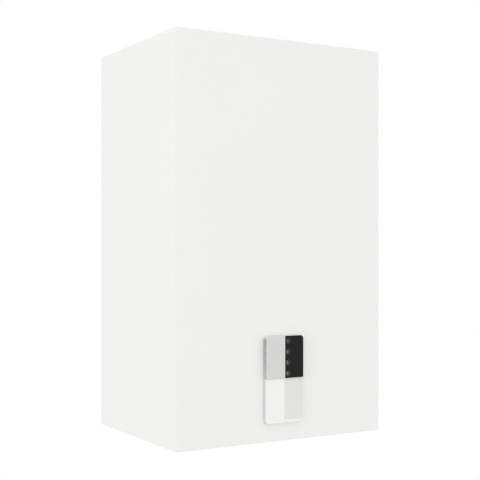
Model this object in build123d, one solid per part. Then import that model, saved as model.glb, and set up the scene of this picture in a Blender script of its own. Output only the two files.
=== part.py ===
"""Wall-hung condensing combi boiler: a one-piece sheet steel cover over a pressed frame, with the
exchanger, fan, gas valve, pump and hydraulic blocks that it holds inside.

Frame: origin on the wall plane, on the centre line, level with the casing's underside.
+X to the right seen from the front, +Y into the wall, +Z up. Millimetres.
"""

from build123d import *
import os

# ------------------------------------------------------------------ casing
casing_width = 420.0
casing_depth = 320.0
casing_height = 700.0
cover_sheet = 1.0
cover_fold_radius = 3.0
cover_edge_radius = 1.8
cover_return = 26.0  # width of the folded rim at the top and bottom
cover_mitre_gap = 0.6
cover_rear_gap = 4.0  # the cover's sides stop this far from the wall
cover_screw_x = 150.0
cover_screw_setback = 18.0  # from the casing's front
slide_gap = 1.0  # between the cover's sheet and the frame, all round

# ------------------------------------------------------------------ frame
frame_sheet = 1.2
frame_setback = 6.0  # from the casing's front to the frame's front flanges
side_flange_depth = 60.0
panel_flange_height = 16.0
panel_gusset_height = 60.0
wall_recess = 10.0  # how far the back plate's middle stands off the wall
recess_margin_x = 28.0
recess_margin_z = 30.0
recess_slope = 10.0
bead_count = 3
bead_low = 150.0
bead_pitch = 60.0
bead_length = 300.0
bead_width = 14.0
bead_depth = 3.5
louvre_x = (-95.0, 45.0)
louvre_y = -228.0
louvre_rows = 4
louvre_length = 60.0
louvre_width = 4.0
louvre_pitch = 9.0
seal_width = 12.0
seal_gap = 0.4
screw_radius = 2.1
screw_clearance = 0.4
screw_head_radius = 4.5
screw_head_height = 2.6
screw_slot_depth = 1.1
cover_screw_length = 9.0
hole_play = 1.0  # round whatever leaves through the bottom panel

# ------------------------------------------------------------------ wall bracket
rail_length = 300.0
rail_height = 60.0
rail_sheet = 2.0
hang_drop = 64.0  # from the casing's top to the hooks' bearing faces
hook_x = 115.0
hook_width = 40.0
hook_tip_height = 14.0
hook_play = 3.0
rail_slot_spacing = 160.0
foot_slot_spacing = 320.0
wall_slot_length = 20.0
wall_slot_radius = 4.5

# ------------------------------------------------------------------ brackets inside
bracket_sheet = 1.5
carrier_low = 525.0
carrier_height = 60.0
carrier_ear = 60.0
blocks_bracket_overhang = 20.0
blocks_bracket_half_depth = 25.0
control_bracket_rise = 46.0
control_bracket_foot = 20.0
cable_pass_radius = 11.0
cable_pass_x = (-70.0, 0.0, 70.0)

# ------------------------------------------------------------------ fascia
fascia_x = -3.4
fascia_bottom = 32.8
fascia_split = 110.2  # where the lower cover meets the upper block
fascia_top = 183.6
fascia_width = 75.2
fascia_corner = 6.0
upper_proud = 11.0
lower_proud = 8.0
cutout_gap = 0.6
part_line = 0.3  # gap between neighbouring fascia mouldings
lens_thickness = 1.6
window_margin = 6.0
inlay_thickness = 1.2
inlay_margin = 2.0
inlay_bottom = 38.0
inlay_gap = 0.1
key_count = 4
key_radius = 5.0
key_gap = 0.35
key_pitch = 18.6
key_inset = 6.4  # key centre from the line between display and keypad
key_proud = 0.9
key_travel = 0.8
key_play = 0.4  # left under a pressed cap
key_cap_height = 3.4
key_stem_radius = 2.0
key_length = 27.9

# ------------------------------------------------------------------ control box
box_half_width = 120.0
box_bottom = 24.0
box_top = 205.0
box_setback = 7.0  # from the casing's front
lid_depth = 16.0
tray_depth = 35.0
box_wall = 2.2
box_corner = 8.0
vent_slot_count = 9
vent_slot_pitch = 16.0
vent_slot_width = 10.0
board_thickness = 1.6
board_margin = 6.0
board_setback = 4.0  # behind the line between lid and tray
post_radius = 4.0
post_inset = 14.0
display_reach = 2.0  # display module in front of the lid's face
board_parts = (  # left, bottom, width, depth, height of what stands on the board's rear
    (-100.0, 50.0, 42.0, 24.0, 36.0),
    (-50.0, 50.0, 18.0, 15.0, 28.0),
    (-26.0, 50.0, 18.0, 15.0, 28.0),
    (10.0, 46.0, 30.0, 9.0, 12.0),
    (48.0, 46.0, 46.0, 9.0, 12.0),
    (-90.0, 120.0, 26.0, 18.0, 26.0),
    (20.0, 120.0, 26.0, 3.0, 26.0),
    (66.0, 110.0, 16.0, 20.0, 40.0),
)

# ------------------------------------------------------------------ flue
flue_x = 0.0
flue_hole_radius = 54.0
gasket_thickness = 3.0
adaptor_half = 66.0
adaptor_corner = 10.0
adaptor_plate = 2.5
adaptor_screw_offset = 55.0
air_collar_radius = 50.0
air_collar_wall = 1.8
air_collar_rise = 20.0
air_collar_drop = 20.0
socket_setback = 4.0  # flue socket's mouth below the collar's
flue_socket_radius = 30.3
flue_socket_wall = 2.6
flue_socket_depth = 36.0
socket_stop = 2.0
duct_seat_depth = 14.0
duct_seat_gap = 0.2
flue_pipe_radius = 30.0
flue_pipe_wall = 1.9
spigot_depth = 40.0
air_port_x = 118.0
air_port_radius = 42.0
air_port_rise = 5.0
plug_offset = 16.0
plug_setback = 9.0  # from the air collar
plug_radius = 6.0
plug_height = 3.0
plug_hexagon = 9.0
plug_hexagon_height = 6.0

# ------------------------------------------------------------------ heat exchanger and burner door
exchanger_drop = 200.0  # axis below the casing's top
exchanger_setback = 113.0  # front behind the casing's front
exchanger_rear = -101.0
exchanger_radius = 112.0
exchanger_wall = 3.0
exchanger_bead = 3.0
fan_to_exchanger = 170.0
mouth_radius = 66.0
flange_radius = 118.0
flange_thickness = 8.0
spigot_radius = 35.0
spigot_rise = 150.0
port_drop = 128.0
port_radius = 11.0
port_bore_depth = 20.0
flow_port_x = -32.0
flow_port_offset = 12.0
drain_port_x = 0.0
drain_port_offset = 19.0
coil_inner = 76.0
coil_outer = 88.0
coil_pitch = 12.0
coil_gap = 0.8
burner_radius = 35.0
burner_end_gap = 29.0  # from the burner's closed end to the shell's rear wall
burner_sheet = 1.0
door_radius = 104.0
door_thickness = 12.0
door_gasket_thickness = 2.0
door_gasket_inner = 68.0
door_gasket_outer = 82.0
door_bolt_circle = 88.0
door_bolts = 6
door_bolt_angle = 30.0
door_nut_flats = 10.0
door_nut_height = 6.0
door_nut_flange_radius = 7.5
door_nut_flange_height = 1.6
door_stud_radius = 3.0
door_stud_reach = 12.0
duct_height = 36.0
duct_inset = 2.0  # air duct's front behind the fan's
electrode_x = 60.0
electrode_z = 20.0
electrode_plate_length = 34.0
electrode_plate_height = 20.0
electrode_plate_thickness = 2.5
ceramic_pitch = 14.0
ceramic_radius = 4.2
ceramic_length = 16.0
electrode_tip_radius = 1.6
electrode_tip_length = 10.0

# ------------------------------------------------------------------ fan, mixer and silencer
fan_side_gap = 18.0
fan_gap = 1.0  # behind the fan, in front of the burner door
fan_thickness = 40.0
fan_wall = 2.5
scroll_radii = (58.0, 64.0, 70.0)
outlet_height = 40.0
outlet_reach = 62.0
outlet_flange = 6.0
impeller_radius = 47.0
impeller_height = 26.0
impeller_gap = 3.0
blade_count = 14
blade_radius = 34.0
blade_thickness = 1.4
blade_root = 22.0
inlet_radius = 30.0
shaft_radius = 4.0
shaft_clearance = 0.06
shaft_reach = 20.0
motor_bore_depth = 24.0
fan_motor_radius = 42.0
fan_motor_length = 36.0
fan_motor_ribs = 12
mixer_length = 80.0
mixer_mouth_radius = 29.0
gas_port_setback = 35.0
gas_port_drop = 48.0
gas_bore = 6.5
silencer_rear = -104.0
silencer_half_width = 36.0
silencer_below = 38.0
silencer_above = 130.0
silencer_wall = 2.0

# ------------------------------------------------------------------ gas valve
valve_offset = 13.0  # valve's middle to the right of its outlet
valve_half_x = 36.0
valve_half_y = 40.0
valve_height = 68.0
valve_clear = 20.0  # above the level run of the drain hose
gas_inlet_rise = 34.0
gas_inlet_reach = 6.0
coil_radius = 10.5
coil_heights = (16.0, 40.0)

# ------------------------------------------------------------------ expansion vessel
vessel_radius = 165.0
vessel_depth = 86.0
vessel_sheet = 1.5
vessel_seam_half = 4.0
vessel_port_drop = 12.0
vessel_valve = (-60.0, -90.0)  # from the vessel's axis
expansion_pipe_radius = 6.0
expansion_x = 72.0
expansion_y = -100.0

# ------------------------------------------------------------------ connections and hydraulics
connection_y = -135.0
connection_pitch = 65.0
thread_length = 15.0
thread_end = -22.0
hex_height = 7.0
hex_margin = 3.5
g34_radius = 13.22  # G3/4 outside diameter 26.44
g34_neck = 12.0
g12_radius = 10.48  # G1/2 outside diameter 20.96
g12_neck = 9.5
fitting_wall = 3.0
fitting_gap = 0.3
grommet_wall = 5.0
grommet_lip = 2.0
grommet_lip_height = 1.2
gland_x = (-40.0, -12.0)
gland_y = -205.0
gland_radius = 9.0
block_bottom = 38.0
block_top = 112.0
big_barrel = 22.0
small_barrel = 16.0
pad_drop = 8.0
pad_overhang = 14.0
plug_z = 76.0
stack_front = -80.0
plate_pitch = 2.5
plate_count = 20
plate_length = 190.0
plate_height = 76.0
plate_corner = 14.0
plate_lip = 0.8
stack_rim = 6.0
pipe_radius = 9.0
pipe_wall = 1.0
nut_across_flats = 30.0
nut_height = 14.0
nut_bevel = 0.055  # of a nut's width across its flats
flow_stub_x = -92.0
flow_stub_y = -142.0
flow_stub_rise = 12.0
flow_drop = 70.0  # straight run of the flow pipe under its port
flow_straight = 48.0  # and above its stub
diverter_rise = 38.0
diverter_motor_height = 44.0
diverter_half_x = 23.0
diverter_front = 26.0
diverter_rear = 24.0
diverter_plug_half = 14.0
diverter_plug_reach = 40.0
pump_x = 130.0
pump_z = 175.0
pump_leg_y = -138.0
pump_half_depth = 20.0
pump_radius = 46.0
pump_rise = 60.0
pump_gap = 18.0  # between the motor's head and the control box
pump_fins = 16
fin_margin = 34.0
terminal_half = 24.0
terminal_low = 30.0
terminal_high = 52.0
vent_x = 125.0
vent_y = -97.0
relief_z = 80.0
relief_boss_end = 154.0
relief_length = 18.0
relief_body_radius = 13.0
relief_tube_radius = 9.0
relief_spigot_radius = 7.5
relief_end = -18.0
knob_gap = 0.3
knob_radius = 12.0
knob_length = 12.0
tap_sleeve_radius = 9.0
tap_sleeve_end = -4.0
tap_stem_radius = 4.0
tap_stem_length = 40.0
tap_knob_radius = 14.0
tap_knob_height = 14.0
flow_sensor_z = 78.0
trap_x = -150.0
trap_y = -215.0
trap_radius = 22.0
trap_top = 186.0
trap_neck = 11.0
trap_outlet_radius = 10.5
trap_end = -16.0
hose_rise = 38.0  # its level run above the trap
hose_fall = 12.0  # down to that run from the exchanger's side
hose_wall = 2.0

# ------------------------------------------------------------------ pressure gauge
gauge_x = 150.0
gauge_setback = 68.0  # behind the casing's front
gauge_radius = 21.0
gauge_rim = 2.5
gauge_proud = 4.0
gauge_window_radius = 17.5
gauge_dial_z = 5.0
gauge_glass_thickness = 1.0
needle_length = 14.0
needle_arbor_radius = 1.0
needle_rest_angle = 45.0
gauge_shoulder = 22.0
gauge_rear = 26.0
capillary_end = 35.0

# ------------------------------------------------------------------ places worked out from the above
half_width = casing_width / 2
frame_half = half_width - cover_sheet - slide_gap
frame_inside = frame_half - frame_sheet
frame_floor = cover_sheet + slide_gap
floor_top = frame_floor + frame_sheet
frame_roof = casing_height - cover_sheet - slide_gap
roof_under = frame_roof - frame_sheet
frame_front = -(casing_depth - frame_setback)
back_plate_front = -(wall_recess + frame_sheet)
hang_height = casing_height - hang_drop
screw_y = -casing_depth + cover_screw_setback

fascia_height = fascia_top - fascia_bottom
fascia_middle = (fascia_top + fascia_bottom) / 2
upper_face = -(casing_depth + upper_proud)
upper_seat = upper_face + lens_thickness
lower_face = -(casing_depth + lower_proud)
keypad_middle = (fascia_split + fascia_top) / 2
key_x = fascia_x + key_inset
key_heights = [keypad_middle + key_pitch * ((key_count - 1) / 2 - n) for n in range(key_count)]
key_face = upper_face - key_proud
key_rear = key_face + key_length

box_front = -casing_depth + box_setback
box_split = box_front + lid_depth
box_rear = box_split + tray_depth
box_middle = (box_bottom + box_top) / 2
box_height = box_top - box_bottom
board_front = box_split + board_setback
board_back = board_front + board_thickness

fan_x = -frame_inside + fan_side_gap + scroll_radii[1]
exchanger_x = fan_x + fan_to_exchanger
exchanger_z = casing_height - exchanger_drop
exchanger_front = -casing_depth + exchanger_setback
flange_front = exchanger_front - flange_thickness
spigot_top = exchanger_z + spigot_rise
port_bottom = exchanger_z - port_drop
burner_end = exchanger_rear - exchanger_wall - burner_end_gap
flue_y = (exchanger_rear + exchanger_front) / 2
exchanger_ports = {
    "flow": (flow_port_x, flue_y + flow_port_offset),
    "return": (pump_x, pump_leg_y),
    "drain": (drain_port_x, exchanger_rear - drain_port_offset),
}
door_rear = flange_front - door_gasket_thickness
door_front = door_rear - door_thickness
fan_rear = door_front - fan_gap
fan_front = fan_rear - fan_thickness
fan_z = exchanger_z + outlet_height / 2 + scroll_radii[0] - scroll_radii[1] - scroll_radii[2]
mixer_rear = fan_rear + mixer_length
gas_port_y = fan_rear + gas_port_setback
mixer_port_z = fan_z - gas_port_drop
valve_x = fan_x + valve_offset
hose_level = trap_top + hose_rise
valve_bottom = hose_level + valve_clear
valve_top = valve_bottom + valve_height
gas_inlet_x = valve_x + valve_half_x + gas_inlet_reach
gas_inlet_z = valve_bottom + gas_inlet_rise

gasket_top = frame_roof + gasket_thickness
adaptor_top = gasket_top + adaptor_plate
collar_top = adaptor_top + air_collar_rise
collar_bottom = gasket_top - air_collar_drop
socket_mouth = collar_top - socket_setback
stop_top = socket_mouth - flue_socket_depth
stop_bottom = stop_top - socket_stop

vessel_front = back_plate_front - vessel_depth
vessel_seam = back_plate_front - vessel_depth / 2
vessel_port_z = exchanger_z - vessel_radius - vessel_port_drop

connection_x = [n * connection_pitch for n in (-2, -1, 0, 1, 2)]
big_fitting = (g34_radius, g34_neck)
small_fitting = (g12_radius, g12_neck)
fittings = list(zip(connection_x, (big_fitting, small_fitting, big_fitting, small_fitting, big_fitting)))
pad_top = block_top - pad_drop
block_middle = (block_bottom + block_top) / 2
diverter_top = block_top + diverter_rise
flow_stub_top = block_top + flow_stub_rise
pump_rear = pump_leg_y + pump_half_depth
pump_front = pump_leg_y - pump_half_depth
pump_top = pump_z + pump_rise
pump_motor_end = box_rear + pump_gap
relief_x = relief_boss_end + relief_length / 2
tap_x = (connection_x[3] + connection_x[4]) / 2
sensor_y = connection_y - small_barrel - 4.0
gauge_floor = -gauge_proud
gauge_y = -casing_depth + gauge_setback


# ------------------------------------------------------------------ helpers
def block(x0, x1, y0, y1, z0, z1):
    """Box between two corners."""
    return Pos((x0 + x1) / 2, (y0 + y1) / 2, (z0 + z1) / 2) * Box(x1 - x0, y1 - y0, z1 - z0)


def rod(start, direction, radius, length):
    """Round bar from a point, along a direction."""
    return extrude(Plane(origin=start, z_dir=direction) * Circle(radius), length)


def post(x, y, z0, z1, radius):
    """Upright round bar between two heights."""
    return rod((x, y, z0), (0, 0, 1), radius, z1 - z0)


def hex_rod(start, direction, across_flats, length):
    """Hexagonal bar from a point, along a direction."""
    outline = RegularPolygon(across_flats / 2, 6, major_radius=False)
    return extrude(Plane(origin=start, z_dir=direction) * outline, length)


def hex_nut(start, direction, across_flats, length):
    """Hexagonal bar whose corners are turned down to a cone at both ends."""
    blank = rod(start, direction, 0.578 * across_flats, length)
    rims = blank.edges().filter_by(GeomType.CIRCLE)
    return hex_rod(start, direction, across_flats, length) & chamfer(rims, nut_bevel * across_flats)


def tube(start, direction, outer, bore, length):
    """Straight tube from a point, along a direction."""
    return extrude(Plane(origin=start, z_dir=direction) * (Circle(outer) - Circle(bore)), length)


def bent_tube(points, bend, outer, bore):
    """Tube along straight runs joined by tangent bends."""
    path = FilletPolyline(*points, radius=bend)
    ring = Plane(origin=path @ 0, z_dir=path % 0) * (Circle(outer) - Circle(bore))
    return sweep(ring, path=path)


def front_plane(y, x=0.0, z=0.0):
    """Plane parallel to the front: local X right, local Y up, normal towards the room."""
    return Plane(origin=(x, y, z), x_dir=(1, 0, 0), z_dir=(0, -1, 0))


def rounded_plate(width, height, radius, y, thickness, x=0.0, z=0.0):
    """Plate parallel to the front with rounded corners, standing forward from y."""
    return extrude(front_plane(y, x, z) * RectangleRounded(width, height, radius), thickness)


def turned_about_y(points, x, z):
    """Solid of revolution about a front-to-back axis, from (radius, y) points."""
    return Pos(x, 0, z) * revolve(make_face(Polyline(*points, close=True)), Axis.Y)


def turned_about_z(points, x, y):
    """Solid of revolution about an upright axis, from (radius, z) points."""
    outline = Plane.XZ * make_face(Polyline(*points, close=True))
    return Pos(x, y, 0) * revolve(outline, Axis.Z)


def group(*shapes):
    """Several separate solids kept together as one node."""
    return Compound(children=[s for shape in shapes for s in shape.solids()])


def four_corners(offset):
    """The flue adaptor's four screw places."""
    return [(flue_x + dx * offset, flue_y + dy * offset) for dx in (-1, 1) for dy in (-1, 1)]


# ------------------------------------------------------------------ casing and frame
def front_cover():
    """Front, both sides and the folded rims, from one sheet, with the fascia's cut-out."""
    rear = -cover_rear_gap
    outer = block(-half_width, half_width, -casing_depth, rear, 0, casing_height)
    outer = fillet(outer.edges().filter_by(Axis.Z).group_by(Axis.Y)[0], cover_fold_radius)
    ends = outer.faces().sort_by(Axis.Z)
    rim_edges = [e for f in (ends[0], ends[-1]) for e in f.edges() if e.center().Y < rear - 0.1]
    outer = fillet(rim_edges, cover_edge_radius)
    inside = half_width - cover_sheet
    inner = block(
        -inside, inside, -casing_depth + cover_sheet, rear + 1, cover_sheet, casing_height - cover_sheet
    )
    inner_folds = inner.edges().filter_by(Axis.Z).group_by(Axis.Y)[0]
    cover = outer - fillet(inner_folds, cover_fold_radius - cover_sheet)
    mouth_half = half_width - cover_return
    mouth_front = -casing_depth + cover_return
    cover -= block(-mouth_half, mouth_half, mouth_front, 1, -1, casing_height + 1)
    for side in (-1, 1):
        cover -= rim_mitre(side, mouth_half, mouth_front)
        cover -= screw_slot(side * cover_screw_x, mouth_front)
    cutout = RectangleRounded(
        fascia_width + 2 * cutout_gap, fascia_height + 2 * cutout_gap, fascia_corner + cutout_gap
    )
    cover -= extrude(front_plane(-casing_depth + 2, fascia_x, fascia_middle) * cutout, 4)
    return cover


def rim_mitre(side, mouth_half, mouth_front):
    """The 45-degree gap at a corner of the top and bottom rims."""
    turned = (0, 0, -side * 45)
    slit = Box(3 * cover_return, cover_mitre_gap, 3 * cover_sheet)
    low = Location((side * mouth_half, mouth_front, 0), turned) * slit
    high = Location((side * mouth_half, mouth_front, casing_height), turned) * slit
    left, right = sorted((side * (half_width - cover_edge_radius), side * (mouth_half - 1)))
    reach = block(left, right, -casing_depth + cover_edge_radius, mouth_front + 1, -1, casing_height + 1)
    return (low + high) & reach


def screw_slot(x, mouth_front):
    """Slot in the bottom rim, open to the rear so that the cover leaves without its screws."""
    radius = screw_radius + screw_clearance
    end = post(x, screw_y, -1, cover_sheet + 1, radius)
    return end + block(x - radius, x + radius, screw_y, mouth_front + 1, -1, cover_sheet + 1)


def back_frame():
    """Pressed back plate: a rim against the wall, a raised middle, and side flanges forward."""
    plate = block(-frame_half, frame_half, -frame_sheet, 0, 0, casing_height)
    plate += recess(frame_sheet, wall_recess + frame_sheet)
    plate -= recess(0.0, wall_recess)
    for side in (-1, 1):
        left, right = sorted((side * frame_half, side * frame_inside))
        plate += block(left, right, -side_flange_depth, -frame_sheet, floor_top, roof_under)
        left = side * hook_x - hook_width / 2 - hook_play
        right = side * hook_x + hook_width / 2 + hook_play
        window_low = hang_height - hook_tip_height - rail_sheet - 2 * hook_play
        plate -= block(left, right, back_plate_front - 1, 0, window_low, hang_height)
        slot = SlotOverall(wall_slot_length, 2 * wall_slot_radius)
        foot = front_plane(1, side * foot_slot_spacing / 2, recess_margin_z / 2)
        plate -= extrude(foot * slot, frame_sheet + 2)
    for n in range(bead_count):
        place = front_plane(-wall_recess, 0, bead_low + n * bead_pitch)
        plate += extrude(place * SlotOverall(bead_length, bead_width), frame_sheet + bead_depth)
        hollow = SlotOverall(bead_length - 2 * frame_sheet, bead_width - 2 * frame_sheet)
        plate -= extrude(place * hollow, bead_depth)
    return plate


def recess(grow, depth):
    """Raised middle of the back plate, as a frustum that narrows away from the wall."""
    wide = 2 * (frame_half - recess_margin_x + grow)
    tall = casing_height - 2 * (recess_margin_z - grow)
    base = front_plane(0.0, 0, casing_height / 2) * Rectangle(wide, tall)
    narrow = Rectangle(wide - 2 * recess_slope, tall - 2 * recess_slope)
    return loft([base, front_plane(-depth, 0, casing_height / 2) * narrow])


def wall_bracket():
    """Rail that is screwed to the wall; two hooks pass through the back plate's windows."""
    low = hang_height - rail_height / 2 - rail_sheet
    rail = block(-rail_length / 2, rail_length / 2, -rail_sheet, 0, low, low + rail_height)
    tip_rear = back_plate_front - hook_play / 2
    tip_front = tip_rear - rail_sheet
    for side in (-1, 1):
        left = side * hook_x - hook_width / 2
        right = side * hook_x + hook_width / 2
        rail += block(left, right, tip_front, -rail_sheet, hang_height - rail_sheet, hang_height)
        top = hang_height + hook_tip_height
        rail += block(left, right, tip_front, tip_rear, hang_height - rail_sheet, top)
        slot = SlotOverall(wall_slot_length, 2 * wall_slot_radius)
        place = front_plane(1, side * rail_slot_spacing / 2, low + rail_height / 2)
        rail -= extrude(place * slot, rail_sheet + 2)
    return rail


def side_gusset(side, level, into):
    """Folded side of the top or bottom panel, deeper towards the wall."""
    outline = make_face(
        Polyline(
            (-side_flange_depth, level),
            (frame_front + frame_sheet, level),
            (frame_front + frame_sheet, level + into * panel_flange_height),
            (-side_flange_depth, level + into * panel_gusset_height),
            close=True,
        )
    )
    left = min(side * frame_half, side * frame_inside)
    return Pos(left, 0, 0) * extrude(Plane.YZ * outline, frame_sheet)


def folded_panel(low, high, level, into):
    """Horizontal sheet with its front flange and both gussets, turned into the casing."""
    panel = block(-frame_half, frame_half, frame_front, -frame_sheet, low, high)
    flange_low, flange_high = sorted((level, level + into * panel_flange_height))
    panel += block(
        -frame_half, frame_half, frame_front, frame_front + frame_sheet, flange_low, flange_high
    )
    return panel + side_gusset(-1, level, into) + side_gusset(1, level, into)


def top_panel():
    """Roof of the frame, with the flue hole and the blanked second air port."""
    panel = folded_panel(roof_under, frame_roof, roof_under, -1)
    panel -= post(flue_x, flue_y, roof_under - 1, frame_roof + 1, flue_hole_radius)
    panel -= post(air_port_x, flue_y, roof_under - 1, frame_roof + 1, air_port_radius)
    for x, y in four_corners(adaptor_screw_offset):
        panel -= post(x, y, roof_under - 1, frame_roof + 1, screw_radius + shaft_clearance)
    return panel


def bottom_panel():
    """Floor of the frame, with a hole for everything that leaves through it."""
    panel = folded_panel(frame_floor, floor_top, floor_top, 1)
    holes = [(x, connection_y, neck + grommet_wall) for x, (_, neck) in fittings]
    holes += [(x, gland_y, gland_radius) for x in gland_x]
    holes.append((trap_x, trap_y, trap_outlet_radius + hole_play))
    holes.append((relief_x, connection_y, relief_tube_radius + hole_play))
    holes.append((tap_x, connection_y, tap_sleeve_radius + hole_play))
    holes.append((gauge_x, gauge_y, gauge_radius + fitting_gap))
    holes += [(side * cover_screw_x, screw_y, screw_radius + shaft_clearance) for side in (-1, 1)]
    for x, y, radius in holes:
        panel -= post(x, y, frame_floor - 1, floor_top + 1, radius)
    for row in range(louvre_rows):
        y = louvre_y + row * louvre_pitch
        for x in louvre_x:
            left = x - louvre_length / 2
            panel -= block(
                left, left + louvre_length, y, y + louvre_width, frame_floor - 1, floor_top + 1
            )
    return panel


def pan_screw(x, y, seat, shank_end):
    """Slotted pan-head screw standing on a seat, its shank to the other side."""
    outward = 1 if seat > shank_end else -1
    head_low, head_high = sorted((seat, seat + outward * screw_head_height))
    head = post(x, y, head_low, head_high, screw_head_radius)
    cut_low, cut_high = sorted(
        (seat + outward * (screw_head_height - screw_slot_depth), seat + outward * (screw_head_height + 1))
    )
    head -= block(x - screw_head_radius, x + screw_head_radius, y - 0.5, y + 0.5, cut_low, cut_high)
    shank_low, shank_high = sorted((seat, shank_end))
    return head + post(x, y, shank_low, shank_high, screw_radius)


def fasteners():
    """Cover screws, flue adaptor screws, and the burner door's studs with flanged nuts."""
    pieces = [pan_screw(side * cover_screw_x, screw_y, 0, cover_screw_length) for side in (-1, 1)]
    pieces += [
        pan_screw(x, y, adaptor_top, roof_under - gasket_thickness)
        for x, y in four_corners(adaptor_screw_offset)
    ]
    for n in range(door_bolts):
        x, z = door_bolt_place(n)
        nut = rod((x, door_front, z), (0, -1, 0), door_nut_flange_radius, door_nut_flange_height)
        seat = door_front - door_nut_flange_height
        nut += hex_nut((x, seat, z), (0, -1, 0), door_nut_flats, door_nut_height)
        stud_length = flange_front - door_front + door_stud_reach
        nut += rod((x, flange_front, z), (0, -1, 0), door_stud_radius, stud_length)
        pieces.append(nut)
    return group(*pieces)


def foam_seals():
    """Closed-cell strips on the front flanges, which the cover closes against."""
    rear = frame_front
    front = -casing_depth + cover_sheet + seal_gap
    half = frame_half - seal_gap
    top = block(-half, half, front, rear, frame_roof - panel_flange_height, frame_roof - seal_gap)
    bottom = block(-half, half, front, rear, floor_top + seal_gap, floor_top + seal_width)
    return group(top, bottom)


# ------------------------------------------------------------------ brackets inside
def exchanger_carrier():
    """Cross plate between the side flanges, with ears folded back along them."""
    rear = exchanger_rear + bracket_sheet
    top = carrier_low + carrier_height
    carrier = block(-frame_inside, frame_inside, exchanger_rear, rear, carrier_low, top)
    for side in (-1, 1):
        left, right = sorted((side * frame_inside, side * (frame_inside - bracket_sheet)))
        carrier += block(left, right, rear, rear + carrier_ear, carrier_low, top)
    return carrier


def blocks_bracket():
    """Channel on the floor that the hydraulic blocks and the gas union stand on."""
    half = connection_x[4] + blocks_bracket_overhang
    front = connection_y - blocks_bracket_half_depth
    rear = connection_y + blocks_bracket_half_depth
    channel = block(-half, half, front, rear, block_bottom - bracket_sheet, block_bottom)
    channel += block(-half, half, front, front + bracket_sheet, floor_top, block_bottom)
    channel += block(-half, half, rear - bracket_sheet, rear, floor_top, block_bottom)
    for x, (_, neck) in fittings:
        channel -= post(x, connection_y, block_bottom - 5, block_bottom + 1, neck + fitting_gap)
    return channel - post(
        tap_x, connection_y, block_bottom - 5, block_bottom + 1, tap_sleeve_radius + hole_play
    )


def control_bracket():
    """Folded bracket that carries the control box on the floor."""
    half = box_half_width
    rear = box_rear + bracket_sheet
    bracket = block(-half, half, box_rear, rear, floor_top, box_bottom + control_bracket_rise)
    bracket += block(-half, half, rear, rear + control_bracket_foot, floor_top, floor_top + bracket_sheet)
    bracket += block(-half, half, box_split, box_rear, box_bottom - bracket_sheet, box_bottom)
    for x in cable_pass_x:
        place = (x, rear + 1, box_bottom + control_bracket_rise / 2)
        bracket -= rod(place, (0, -1, 0), cable_pass_radius, bracket_sheet + 2)
    return bracket


def inner_brackets():
    """The three folded brackets of the frame."""
    return group(exchanger_carrier(), blocks_bracket(), control_bracket())


# ------------------------------------------------------------------ flue
def adaptor_outline(level):
    """Square outline shared by the flue adaptor and its gasket."""
    outline = RectangleRounded(2 * adaptor_half, 2 * adaptor_half, adaptor_corner)
    return Plane.XY.offset(level) * Pos(flue_x, flue_y) * outline


def flue_gasket():
    """Square rubber gasket under the flue adaptor."""
    plate = extrude(adaptor_outline(frame_roof), gasket_thickness)
    plate -= post(flue_x, flue_y, frame_roof - 1, gasket_top + 1, air_collar_radius + duct_seat_gap)
    for x, y in four_corners(adaptor_screw_offset):
        plate -= post(x, y, frame_roof - 1, gasket_top + 1, screw_radius + screw_clearance)
    return plate


def flue_adaptor():
    """Concentric 60/100 outlet: flue socket in the middle, air collar outside, webs between."""
    bore = air_collar_radius - air_collar_wall
    body = extrude(adaptor_outline(gasket_top), adaptor_plate)
    body += post(flue_x, flue_y, adaptor_top, collar_top, air_collar_radius)
    body += post(flue_x, flue_y, collar_bottom, adaptor_top, air_collar_radius - 0.5)
    body -= post(flue_x, flue_y, collar_bottom - 1, collar_top + 1, bore)
    web_height = air_collar_drop - 6
    for turn in (45, 135):
        middle = Pos(flue_x, flue_y, gasket_top - 3 - web_height / 2)
        body += middle * Rot(0, 0, turn) * Box(2 * bore + 1, 2.4, web_height)
    seat_low = stop_bottom - duct_seat_depth
    body += post(flue_x, flue_y, seat_low, socket_mouth, flue_socket_radius + flue_socket_wall)
    body -= post(flue_x, flue_y, stop_top, socket_mouth + 1, flue_socket_radius)
    body -= post(flue_x, flue_y, stop_bottom - 1, stop_top + 1, flue_pipe_radius - flue_pipe_wall)
    body -= post(flue_x, flue_y, seat_low - 1, stop_bottom, flue_pipe_radius + duct_seat_gap)
    for x, y in four_corners(adaptor_screw_offset):
        body -= post(x, y, gasket_top - 1, adaptor_top + 1, screw_radius + screw_clearance)
    return body


def roof_caps():
    """Blanking cap of the second air port, and the caps of the two sampling points."""
    rim = air_port_radius + 9
    top = frame_roof + air_port_rise
    points = [
        (0, top),
        (air_port_radius - 4, top),
        (air_port_radius, frame_roof + frame_sheet),
        (rim, frame_roof + frame_sheet),
        (rim, frame_roof),
        (air_port_radius - 1, frame_roof),
        (air_port_radius - 5, top - frame_sheet),
        (0, top - frame_sheet),
    ]
    caps = [turned_about_z(points, air_port_x, flue_y)]
    plug_y = flue_y - air_collar_radius - plug_setback
    for dx in (-plug_offset, plug_offset):
        cap = post(flue_x + dx, plug_y, adaptor_top, adaptor_top + plug_height, plug_radius)
        start = (flue_x + dx, plug_y, adaptor_top + plug_height)
        caps.append(cap + hex_nut(start, (0, 0, 1), plug_hexagon, plug_hexagon_height))
    return group(*caps)


def flue_duct():
    """Plastic pipe from the exchanger's spigot up to the adaptor, with its stop bead."""
    low = spigot_top - spigot_depth
    bore = flue_pipe_radius - flue_pipe_wall
    pipe = tube((flue_x, flue_y, low), (0, 0, 1), flue_pipe_radius, bore, stop_bottom - low)
    return pipe + tube((flue_x, flue_y, spigot_top), (0, 0, 1), spigot_radius - 1, bore, 6)


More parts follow.
